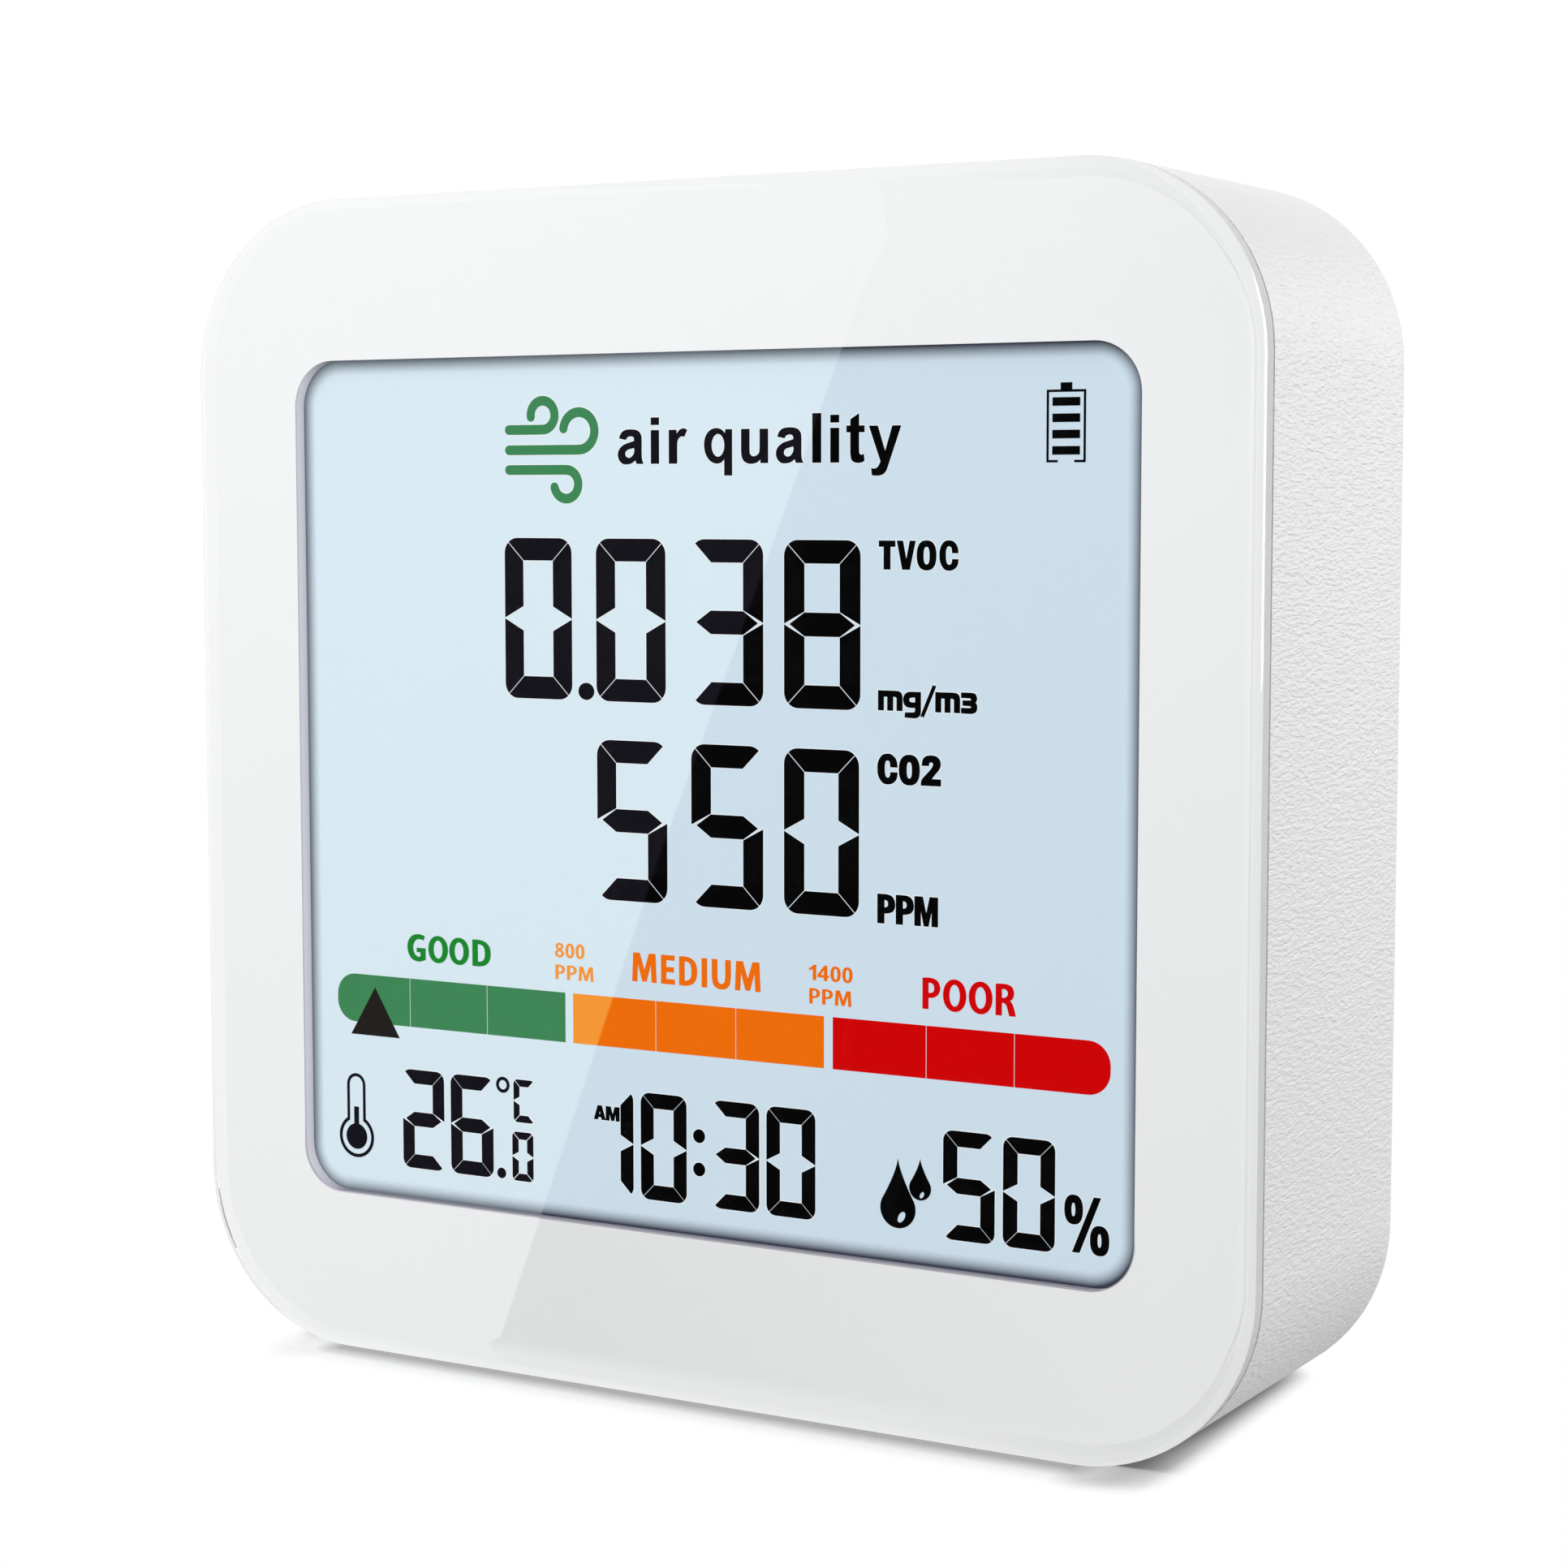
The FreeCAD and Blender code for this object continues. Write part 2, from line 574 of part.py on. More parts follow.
def corner_screw(x, z):
    head = rod(x, z, HEAD_R, HEAD_FRONT, HEAD_BACK)
    head = head.makeFillet(0.5, edges_at(head, HEAD_BACK))
    body = fuse(head, rod(x, z, SCREW_R, 13.0, HEAD_FRONT + 0.01))
    return tidy(cut(body, *cross_slot(x, z, 2.6, 0.6, HEAD_FRONT + 0.7, BEHIND)))


save_group("housing_screws", [corner_screw(x, z) for x, z in corners(POST_X, POST_Z)])

# ---- Folding stand --------------------------------------------------------
STAND_T = STAND_BACK - STAND_FRONT


def stand():
    """Plate with a round hinge edge, two stub pins and grip grooves."""
    plate = box(-STAND_HALF, STAND_HALF, STAND_FRONT, STAND_BACK, STAND_BOTTOM, HINGE_Z)
    lower_corners = [e for e in plate.Edges
                     if abs(e.BoundBox.YLength - STAND_T) < 1e-3
                     and e.BoundBox.ZMax < STAND_BOTTOM + 0.1]
    plate = plate.makeFillet(3.0, lower_corners)
    plate = fuse(plate, cross_rod(STAND_T / 2, STAND_HALF, HINGE_DEPTH, HINGE_Z),
                 cross_rod(PIN_R, STAND_HALF + 1.6, HINGE_DEPTH, HINGE_Z))
    grooves = [rounded(24, 1.2, 0.59, STAND_BACK - 0.5, BEHIND, 0, STAND_BOTTOM + 4 + 2.4 * i)
               for i in range(4)]
    front_hollow = rounded(25, 24, 2.5, AHEAD, STAND_FRONT + 0.8, 0, 30)
    plate = cut(plate, *grooves, front_hollow)
    # the lower rear edge follows the rounded housing edge
    edge_front = DEPTH - REAR_EDGE_R
    cutter = cut(box(-30, 30, edge_front, BEHIND, BELOW, REAR_EDGE_R),
                 cross_rod(REAR_EDGE_R - 0.2, 30, edge_front, REAR_EDGE_R))
    return cut(plate, cutter)


save("stand", stand())
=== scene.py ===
"""Desk-top indoor air monitor: a white grained case, 86 mm square with rounded corners,
behind a clear acrylic plate, showing a display with readings and a coloured scale.

It stands on z = 0.  The plate faces -Y with its front face at y = -14 mm, +X is to the
right seen from the front, and the rear keys and sockets face +Y.  Sizes are in
millimetres unless noted; "depth" is measured backwards from the plate's front face.
"""
import bpy
import bmesh
import json
import math
from mathutils import Vector, Matrix

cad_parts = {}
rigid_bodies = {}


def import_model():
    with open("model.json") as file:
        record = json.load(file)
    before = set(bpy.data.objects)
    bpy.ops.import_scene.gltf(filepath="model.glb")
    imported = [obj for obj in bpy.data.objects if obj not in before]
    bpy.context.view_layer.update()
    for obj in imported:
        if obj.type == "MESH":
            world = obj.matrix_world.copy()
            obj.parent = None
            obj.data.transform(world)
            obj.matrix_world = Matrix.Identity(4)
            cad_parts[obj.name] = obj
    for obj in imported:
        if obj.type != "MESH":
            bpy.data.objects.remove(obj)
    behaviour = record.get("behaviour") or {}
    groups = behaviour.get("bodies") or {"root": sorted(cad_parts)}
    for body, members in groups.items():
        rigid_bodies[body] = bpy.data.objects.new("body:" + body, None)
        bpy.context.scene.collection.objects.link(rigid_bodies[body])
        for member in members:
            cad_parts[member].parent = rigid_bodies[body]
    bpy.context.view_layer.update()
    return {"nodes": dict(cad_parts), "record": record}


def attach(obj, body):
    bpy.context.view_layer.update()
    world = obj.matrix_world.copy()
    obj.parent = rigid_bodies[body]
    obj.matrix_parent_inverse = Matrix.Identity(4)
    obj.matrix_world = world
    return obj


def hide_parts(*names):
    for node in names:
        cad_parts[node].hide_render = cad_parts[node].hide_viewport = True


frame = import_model()
nodes = frame["nodes"]
scene = bpy.context.scene

MM = 0.001
FACE_Y = -14.0                # front face of the plate
CENTRE_Z = 43.0               # height of the centre line
PLATE = 86.0                  # width and height of the plate
PLATE_CORNER = 12.75
PLATE_THICK = 2.0
PLATE_EDGE = 0.95             # rounding of the plate's front edge
OPENING_W, OPENING_H, OPENING_CORNER = 68.7, 62.4, 3.4     # window in the print
DISPLAY_DEPTH = 3.2
ACRYLIC_IOR = 1.49

WHITE = (1, 1, 1, 1)


def place(x, depth, z):
    """Millimetres across, behind the plate's face and up -> metres in the frame."""
    return Vector((x, FACE_Y + depth, z)) * MM


def up(height):
    """Height above the centre line -> height above the floor."""
    return CENTRE_Z + height


def srgb(red, green, blue):
    """0-255 display colour -> linear RGBA"""
    def linear(c):
        c /= 255.0
        return c / 12.92 if c <= 0.04045 else ((c + 0.055) / 1.055) ** 2.4
    return (linear(red), linear(green), linear(blue), 1.0)


def dim(colour, share):
    return tuple(c * share for c in colour[:3]) + (1.0,)


# ---------------------------------------------------------------------------
# camera
# ---------------------------------------------------------------------------
SENSOR_WIDTH, FOCAL_LENGTH = 36.0, 74.404845
CAMERA_POS = Vector((119.78854, -204.99224, 64.258684)) * MM
YAW, PITCH, ROLL = 0.527501, 0.0888668, -0.00070957       # radians

cam_data = bpy.data.cameras.new("camera")
camera = bpy.data.objects.new("camera", cam_data)
scene.collection.objects.link(camera)
cam_data.sensor_width = SENSOR_WIDTH
cam_data.lens = FOCAL_LENGTH
cam_data.clip_start = 0.01
cam_data.clip_end = 50.0
forward = Vector((-math.sin(YAW) * math.cos(PITCH),
                  math.cos(YAW) * math.cos(PITCH),
                  -math.sin(PITCH)))
rightward = Vector((math.cos(YAW), math.sin(YAW), 0.0))
upward = rightward.cross(forward)
turn = Matrix((rightward, upward, -forward)).transposed() @ Matrix.Rotation(ROLL, 3, "Z")
camera.matrix_world = Matrix.Translation(CAMERA_POS) @ turn.to_4x4()
scene.camera = camera


# ---------------------------------------------------------------------------
# node helpers
# ---------------------------------------------------------------------------
class Nodes:
    """Node tree of a material or world; inputs take numbers, colours or outputs."""

    def __init__(self, owner, output="OutputMaterial"):
        owner.use_nodes = True
        self.owner = owner
        self.tree = owner.node_tree
        self.tree.nodes.clear()
        self.output = self.node(output)

    def node(self, kind, inputs=(), **settings):
        node = self.tree.nodes.new("ShaderNode" + kind)
        for key, value in settings.items():
            setattr(node, key, value)
        for key, value in dict(inputs).items():
            if isinstance(value, bpy.types.NodeSocket):
                self.tree.links.new(value, node.inputs[key])
            else:
                node.inputs[key].default_value = value
        return node

    def finish(self, shader):
        """Connect the shader to the output and return the material or world."""
        self.tree.links.new(shader, self.output.inputs["Surface"])
        return self.owner

    def principled(self, **inputs):
        named = {key.replace("_", " "): value for key, value in inputs.items()}
        return self.finish(self.node("BsdfPrincipled", named).outputs[0])

    def math(self, operation, *values, clamp=False):
        return self.node("Math", enumerate(values), operation=operation,
                         use_clamp=clamp).outputs[0]

    def add(self, a, b):
        return self.math("ADD", a, b)

    def sub(self, a, b):
        return self.math("SUBTRACT", a, b)

    def mul(self, a, b):
        return self.math("MULTIPLY", a, b)

    def mul_add(self, a, b, c):
        return self.math("MULTIPLY_ADD", a, b, c)

    def abs(self, a):
        return self.math("ABSOLUTE", a)

    def positive(self, a):
        return self.math("MAXIMUM", a, 0.0)

    def length(self, a, b):
        return self.math("SQRT", self.add(self.mul(a, a), self.mul(b, b)))

    def coords(self):
        return self.node("TexCoord").outputs["Object"]

    def split(self, vector):
        return self.node("SeparateXYZ", {0: vector}).outputs

    def noise(self, scale, vector=None, detail=2.0, rough=0.5, distortion=0.0):
        return self.node("TexNoise", {
            "Scale": scale, "Detail": detail, "Roughness": rough, "Distortion": distortion,
            "Vector": self.coords() if vector is None else vector}).outputs["Fac"]

    def ramp(self, value, span, to=(0.0, 1.0), curve="LINEAR"):
        """Clamped map of the input span onto the output pair."""
        return self.node("MapRange", {
            "Value": value, "From Min": span[0], "From Max": span[1],
            "To Min": to[0], "To Max": to[1]}, interpolation_type=curve).outputs["Result"]

    def vary(self, noise, to):
        """Spread the middle range of a noise over two values."""
        return self.ramp(noise, (0.3, 0.7), to)

    def mix(self, factor, a, b, mode="MIX"):
        return self.node("Mix", {0: factor, 6: a, 7: b}, data_type="RGBA",
                         blend_type=mode, clamp_factor=True).outputs[2]

    def mottled(self, noise, colour, share):
        """Colour wandering down to a share of itself."""
        return self.mix(self.vary(noise, (0.0, 1.0)), colour, dim(colour, share))

    def bump(self, height, strength, distance):
        return self.node("Bump", {"Strength": strength, "Distance": distance,
                                  "Height": height}).outputs["Normal"]

    def mix_shader(self, factor, a, b):
        return self.node("MixShader", {0: factor, 1: a, 2: b}).outputs[0]


def material(name):
    return Nodes(bpy.data.materials.new(name))


def outline_distance(tree, across, height, half_w, half_h, corner, inside=True):
    """Distance (mm) from a rounded rectangle, negative within it.

    across and height are measured from its centre; without inside, the distance is
    only followed outward of the corner centres."""
    side_x = tree.sub(tree.abs(across), half_w - corner)
    side_z = tree.sub(tree.abs(height), half_h - corner)
    outer = tree.length(tree.positive(side_x), tree.positive(side_z))
    if not inside:
        return tree.sub(outer, corner)
    inner = tree.math("MINIMUM", tree.math("MAXIMUM", side_x, side_z), 0.0)
    return tree.sub(tree.add(outer, inner), corner)


# ---------------------------------------------------------------------------
# painted reflection of a soft panel with a straight slanted edge, mixed into surface colours:
# decided by where the mirror direction of the view meets a vertical card plane in front of the
# plate
# ---------------------------------------------------------------------------
CARD_Y = -1.0                                   # metres
SHEEN_TOP = (17.1, CENTRE_Z + PLATE / 2)        # where the edge crosses the plate's
SHEEN_BOTTOM = (-16.2, CENTRE_Z - PLATE / 2)    # top and bottom
SHEEN_SOFT = 0.0005                             # half width of the soft edge, metres


def card_point(x, z):
    """Point on the plate's face (mm) -> where its mirror ray meets the card (m)."""
    point = place(x, 0.0, z)
    view = point - CAMERA_POS
    reach = (CARD_Y - point.y) / -view.y
    return point.x + view.x * reach, point.z + view.z * reach


(top_x, top_z), (bottom_x, bottom_z) = card_point(*SHEEN_TOP), card_point(*SHEEN_BOTTOM)
edge_length = math.hypot(top_z - bottom_z, bottom_x - top_x)
EDGE_NX = (top_z - bottom_z) / edge_length
EDGE_NZ = (bottom_x - top_x) / edge_length
EDGE_OFFSET = EDGE_NX * top_x + EDGE_NZ * top_z


def sheen(tree, depth, ior):
    """1 on the lit side of the slanted edge, 0 on the other.

    depth: equivalent depth of the surface; ior: index of what the view ray is in."""
    geometry = tree.node("NewGeometry")
    x, _, z = tree.split(geometry.outputs["Position"])
    view_x, view_y, view_z = tree.split(geometry.outputs["Incoming"])
    # entry point on the plate's face
    back = tree.math("DIVIDE", -depth * MM, view_y)
    entry_x = tree.mul_add(view_x, back, x)
    entry_z = tree.mul_add(view_z, back, z)
    if ior != 1.0:      # direction outside the plate
        view_x = tree.mul(view_x, ior)
        view_z = tree.mul(view_z, ior)
        rest = tree.sub(tree.sub(1.0, tree.mul(view_x, view_x)), tree.mul(view_z, view_z))
        view_y = tree.mul(tree.math("SQRT", tree.math("MAXIMUM", rest, 0.01)), -1.0)
    # the mirror direction is (-view_x, view_y, -view_z)
    reach = tree.math("DIVIDE", CARD_Y - FACE_Y * MM, view_y)
    card_x = tree.sub(entry_x, tree.mul(view_x, reach))
    card_z = tree.sub(entry_z, tree.mul(view_z, reach))
    across = tree.mul_add(card_x, EDGE_NX, tree.mul(card_z, EDGE_NZ))
    return tree.ramp(tree.sub(across, EDGE_OFFSET), (SHEEN_SOFT, -SHEEN_SOFT))


# ---------------------------------------------------------------------------
# materials; lengths in their nodes are in metres, except distances in mm
# made by outline_distance
# ---------------------------------------------------------------------------
PLASTIC_IOR = 1.46
DISPLAY_COLOUR = srgb(206, 223, 235)
DISPLAY_GLOW = 0.645
DISPLAY_SHEEN = 0.26              # share of gleam on the display ground
DISPLAY_SHEEN_DEPTH = 2.44
LIT_SHARE = (0.45, 0.45, 0.45, 1)      # part of a glowing colour that also takes light

# slot: material name, sRGB colour, roughness, grain scale, bump strength, bump depth (m)
PLASTICS = {
    "tape": ("grey_foam_tape", (118, 118, 121), 0.6, 1500, 0.2, 0.00003),
    # white_inner: white plastic coloured the mauve grey it shows in shade, as painted shade
    "white_inner": ("white_inner_plastic", (196, 192, 198), 0.45, 900, 0.15, 0.00003),
    "reflector": ("reflector_film", (240, 240, 240), 0.3, 400, 0.1, 0.00003),
    "led_white": ("led_phosphor", (238, 226, 140), 0.35, 700, 0.2, 0.00003),
    "contact_rubber": ("contact_rubber", (205, 130, 140), 0.7, 1200, 0.3, 0.00003),
    "black_epoxy": ("black_moulding", (26, 26, 28), 0.45, 1100, 0.25, 0.00003),
    "key_grey": ("key_plastic", (222, 222, 224), 0.38, 1500, 0.25, 0.00003),
    "pad_foam": ("black_foam", (38, 38, 40), 0.9, 800, 0.8, 0.0001),
    "lead_red": ("red_insulation", (190, 24, 24), 0.35, 600, 0.1, 0.00003),
    "lead_black": ("black_insulation", (22, 22, 22), 0.35, 600, 0.1, 0.00003),
    "ribbon": ("polyimide_film", (196, 140, 58), 0.25, 500, 0.1, 0.00003),
    "mark": ("mark_print", (108, 108, 112), 0.5, 900, 0.1, 0.00003),
}
# slot: material name, grey (red and green, blue), roughness, stretch of the grain
METALS = {
    "sensor_metal": ("drawn_can", (0.62, 0.63), 0.28, (1, 1, 40)),
    "screw_steel": ("zinc_plated", (0.58, 0.60), 0.32, (8, 8, 8)),
    "socket_steel": ("stamped_shell", (0.66, 0.68), 0.22, (1, 30, 1)),
}


def plastic(name, rgb, rough, scale, strength, depth):
    tree = material(name)
    coords = tree.coords()
    fine = tree.noise(scale, coords, detail=4.0, rough=0.6)
    tone = tree.noise(60.0, coords, detail=3.0)
    return tree.principled(
        Base_Color=tree.mottled(tone, srgb(*rgb), 0.97),
        Roughness=tree.vary(fine, (rough - 0.04, rough + 0.05)),
        Normal=tree.bump(fine, strength, depth), IOR=PLASTIC_IOR)


def metal(name, greys, rough, stretch):
    tree = material(name)
    grey, blue = greys
    stretched = tree.node("Mapping", {"Scale": stretch, "Vector": tree.coords()}).outputs[0]
    grain = tree.noise(300.0, stretched, detail=4.0, rough=0.6)
    tone = tree.noise(120.0, rough=0.55)
    return tree.principled(
        Base_Color=tree.mottled(tone, (grey, grey, blue, 1), 0.85), Metallic=1.0,
        Roughness=tree.vary(grain, (rough - 0.08, rough + 0.1)),
        Normal=tree.bump(grain, strength=0.15, distance=0.00002))


def white_shell():
    """Moulded white plastic with a fine leather-like grain, drawn out along the depth."""
    tree = material("white_grained_plastic")
    coords = tree.coords()
    stretched = tree.node("Mapping", {"Scale": (1.0, 0.27, 1.0),
                                      "Vector": coords}).outputs[0]
    warp = tree.node("TexNoise", {"Scale": 1500.0, "Detail": 2.0, "Vector": stretched})
    warp_amount = (0.00016, 0.00012, 0.00016)
    warped = tree.node("VectorMath", {0: warp.outputs["Color"], 1: warp_amount,
                                      2: stretched}, operation="MULTIPLY_ADD").outputs[0]
    wrinkle = tree.noise(4000.0, warped, detail=1.0, distortion=0.3)
    fine = tree.noise(6500.0, warped, detail=1.0)
    broad = tree.noise(1200.0, warped)
    height = tree.mul_add(wrinkle, 1.3, tree.mul(fine, 0.30))
    height = tree.mul_add(broad, 0.35, height)
    # painted shade: the grain's valleys are slightly greyer
    ridge = tree.abs(tree.sub(wrinkle, 0.5))
    colour = tree.mottled(tree.noise(38.0, coords), srgb(243, 243, 243), 0.985)
    colour = tree.mix(tree.ramp(ridge, (0.0, 0.10), to=(0.05, 0.0)), colour,
                      srgb(190, 190, 190))
    return tree.principled(
        Base_Color=colour, Roughness=tree.vary(fine, (0.40, 0.51)),
        Normal=tree.bump(height, strength=0.85, distance=0.00011), IOR=PLASTIC_IOR)


def circuit_board():
    """Green solder mask with tracks and tinned pads."""
    tree = material("solder_mask")
    upright = tree.node("Mapping", {"Rotation": (math.pi / 2, 0, 0),
                                    "Vector": tree.coords()}).outputs[0]
    brick = tree.node("TexBrick", {"Scale": 260.0, "Mortar Size": 0.03, "Vector": upright})
    cells = tree.node("TexVoronoi", {"Scale": 420.0, "Vector": upright},
                      feature="F1", distance="CHEBYCHEV")
    track = tree.ramp(brick.outputs["Fac"], (0.4, 0.6))
    pad = tree.ramp(cells.outputs["Distance"], (0.10, 0.08))
    colour = tree.mix(track, srgb(22, 92, 52), srgb(48, 130, 78))
    return tree.principled(
        Base_Color=tree.mix(pad, colour, srgb(190, 185, 165)),
        Roughness=tree.ramp(pad, (0, 1), to=(0.35, 0.25)), Metallic=tree.mul(pad, 0.8),
        Normal=tree.bump(tree.add(track, pad), strength=0.3, distance=0.00004))


def gauze():
    """Dark woven mesh."""
    tree = material("dust_gauze")
    coords = tree.coords()
    threads = [tree.node("TexWave", {"Scale": 900.0, "Vector": coords}, wave_type="BANDS",
                         bands_direction=direction).outputs["Fac"] for direction in "XZ"]
    weave = tree.math("MAXIMUM", *threads)
    return tree.principled(
        Base_Color=tree.mix(weave, srgb(14, 14, 15), srgb(74, 74, 78)), Roughness=0.8,
        Normal=tree.bump(weave, strength=0.8, distance=0.0001))


def foil():
    tree = material("cell_laminate")
    crease = tree.noise(160.0, detail=4.0, rough=0.6)
    return tree.principled(
        Base_Color=tree.mix(crease, srgb(176, 178, 184), srgb(205, 207, 212)), Metallic=0.9,
        Roughness=tree.vary(crease, (0.28, 0.45)),
        Normal=tree.bump(crease, strength=0.4, distance=0.0001))


def translucent(name, colour, rough):
    tree = material(name)
    tone = tree.noise(500.0)
    return tree.principled(
        Base_Color=tree.mix(tone, colour, dim(colour, 0.97)), Transmission_Weight=0.6,
        IOR=ACRYLIC_IOR, Roughness=tree.vary(tone, (rough, rough + 0.06)))


def clear_plate():
    """Clear acrylic: daylight passes straight through, the eye sees refraction."""
    tree = material("acrylic_clear")
    rays = tree.node("LightPath").outputs
    swirl = tree.noise(45.0)
    tint = tree.mix(swirl, (0.985, 0.99, 0.992, 1), (0.99, 0.992, 0.993, 1))
    clear = {"IOR": ACRYLIC_IOR, "Roughness": 0.0, "Color": tint}
    outside = tree.node("BsdfRefraction", clear).outputs[0]
    inside = tree.node("BsdfGlass", clear).outputs[0]
    gloss_rough = tree.ramp(swirl, (0.0, 1.0), to=(0.02, 0.05))
    gloss = tree.node("BsdfGlossy", {"Roughness": gloss_rough}).outputs[0]
    fresnel = tree.node("Fresnel", {"IOR": ACRYLIC_IOR}).outputs[0]
    polished = tree.mix_shader(tree.math("MULTIPLY", fresnel, 0.7, clamp=True),
                               outside, gloss)
    # the sawn edge behind the polished rounding is satin
    y = tree.split(tree.coords())[1]
    satin = tree.node("BsdfDiffuse", {"Color": srgb(217, 218, 220)}).outputs[0]
    sawn = tree.ramp(y, ((FACE_Y + PLATE_EDGE) * MM, -0.0129), to=(0.0, 0.75))
    front = tree.mix_shader(sawn, polished, satin)
    seen = tree.mix_shader(tree.node("NewGeometry").outputs["Backfacing"], front, inside)
    passing = tree.node("BsdfTransparent", {"Color": (0.97, 0.975, 0.98, 1)}).outputs[0]
    through = tree.math("MAXIMUM", rays["Is Shadow Ray"], rays["Is Diffuse Ray"])
    return tree.finish(tree.mix_shader(through, seen, passing))


def back_print():
    """White print on the back of the plate, seen through the acrylic; painted light, shade and
    reflection are mixed into its colour.
    """
    tree = material("white_back_print")
    colour = tree.mottled(tree.noise(30.0), srgb(245, 245, 245), 0.99)
    x, _, z = tree.split(tree.coords())

    def distance(half_w, half_h, corner, inside):
        return outline_distance(tree, tree.mul(x, 1000.0),
                                tree.mul_add(z, 1000.0, -CENTRE_Z),
                                half_w, half_h, corner, inside)

    # painted light: paler towards the top, less so on the right
    paler = tree.mul(tree.ramp(z, (0.045, 0.086), to=(0.0, 0.6)),
                     tree.ramp(x, (0.028, 0.042), to=(1.0, 0.45)))
    colour = tree.mix(paler, colour, WHITE)
    # painted highlight: the outer millimetre, under the rounded edge of the plate, is painted
    # white on the left
    rim = distance(half_w=42.0, half_h=42.0, corner=11.8, inside=True)
    left_rim_highlight = tree.mul(tree.ramp(rim, (-0.05, 0.05)),
                        tree.ramp(x, (-0.020, -0.040), to=(0.0, 0.9)))
    colour = tree.mix(left_rim_highlight, colour, WHITE)
    # painted shade: a slightly greyer margin and a fine darker line on the right
    grey = (0.2, 0.2, 0.2, 1)
    right = tree.ramp(x, (0.020, 0.040))
    margin = tree.ramp(rim, (-0.29, -0.24), to=(0.0, 0.12))
    colour = tree.mix(tree.mul(margin, right), colour, grey)
    line = tree.ramp(tree.abs(tree.add(rim, 0.31)), (0.01, 0.04), to=(0.2, 0.0))
    colour = tree.mix(tree.mul(line, right), colour, grey)
    # painted reflection of the panel, and painted shade outside it, low on the left and near
    # the top
    gleam = sheen(tree, depth=PLATE_THICK, ior=ACRYLIC_IOR)
    colour = tree.mix(tree.mul(gleam, 0.24), colour, WHITE)
    dark = tree.mul(tree.ramp(z, (0.030, 0.012)),
                    tree.ramp(x, (-0.010, 0.036), to=(0.12, 0.0)))
    dark = tree.mul(dark, tree.ramp(z, (0.0012, 0.0024)))
    dark = tree.add(dark, tree.ramp(z, (0.066, 0.076), to=(0.0, 0.03)))
    colour = tree.mix(tree.mul(tree.sub(1.0, gleam), dark), colour, (0.1, 0.1, 0.1, 1))
    # painted shade along the lower edge of the display opening, paler within the painted
    # reflection
    lip = distance(OPENING_W / 2, OPENING_H / 2, OPENING_CORNER, inside=False)
    lip = tree.mul(tree.ramp(lip, (0.06, 0.11), to=(1.0, 0.0)),
                   tree.ramp(z, (0.0165, 0.0130)))
    lip_colour = tree.mix(gleam, srgb(168, 163, 172), srgb(205, 201, 208))
    fine = tree.noise(1500.0)
    return tree.principled(
        Base_Color=tree.mix(lip, colour, lip_colour),
        Roughness=tree.vary(fine, (0.5, 0.6)),
        Normal=tree.bump(fine, strength=0.05, distance=0.00001))


def display_ground():
    """Pale blue, evenly back-lit, with painted shade darkening it under the edge of the
    opening and a painted reflection.
    """
    tree = material("display_ground")
    coords = tree.coords()
    x, _, z = tree.split(coords)
    # painted shade: darker towards the walls of the opening, less so within the painted
    # reflection
    wall = outline_distance(tree, tree.mul_add(x, 1000.0, 0.27),
                            tree.sub(tree.mul(z, 1000.0), CENTRE_Z),
                            half_w=34.13, half_h=OPENING_H / 2, corner=3.3)
    edge = tree.math("POWER", tree.ramp(wall, (-1.05, 0.0)), 1.35)
    grain = tree.noise(2200.0, coords)
    ground = tree.mottled(tree.noise(22.0, coords), DISPLAY_COLOUR, 0.985)
    ground = tree.mix(tree.vary(grain, (0.0, 0.02)), ground, WHITE)
    gleam = tree.mul(sheen(tree, DISPLAY_SHEEN_DEPTH, 1.0), DISPLAY_SHEEN)
    ground = tree.mix(gleam, ground, (0.92, 1.05, 1.05, 1))
    edge = tree.mul(edge, tree.ramp(sheen(tree, DISPLAY_SHEEN_DEPTH, 1.0), (0.0, 1.0),
                                    to=(0.97, 0.80)))
    colour = tree.mix(edge, ground, srgb(40, 42, 60))
    return tree.principled(
        Base_Color=tree.mix(1.0, colour, LIT_SHARE, "MULTIPLY"),
        Roughness=tree.vary(grain, (0.5, 0.6)),
        Normal=tree.bump(grain, strength=0.04, distance=0.00001),
        Emission_Color=colour, Emission_Strength=DISPLAY_GLOW, Specular_IOR_Level=0.1)


def ink(name, colour, sheen_share, glow=0.0, gleam=WHITE):
    """Flat display print; gleam is its colour in the painted panel reflection."""
    tree = material(name)
    tone = tree.noise(800.0)
    colour = tree.mottled(tone, colour, 0.97)
    amount = tree.mul(sheen(tree, DISPLAY_SHEEN_DEPTH, 1.0), sheen_share)
    colour = tree.mix(amount, colour, gleam)
    inputs = {"Base_Color": colour}
    if glow:
        inputs = {"Base_Color": tree.mix(1.0, colour, LIT_SHARE, "MULTIPLY"),
                  "Emission_Color": colour, "Emission_Strength": glow}
    return tree.principled(Roughness=tree.vary(tone, (0.55, 0.65)),
                           Specular_IOR_Level=0.0, **inputs)


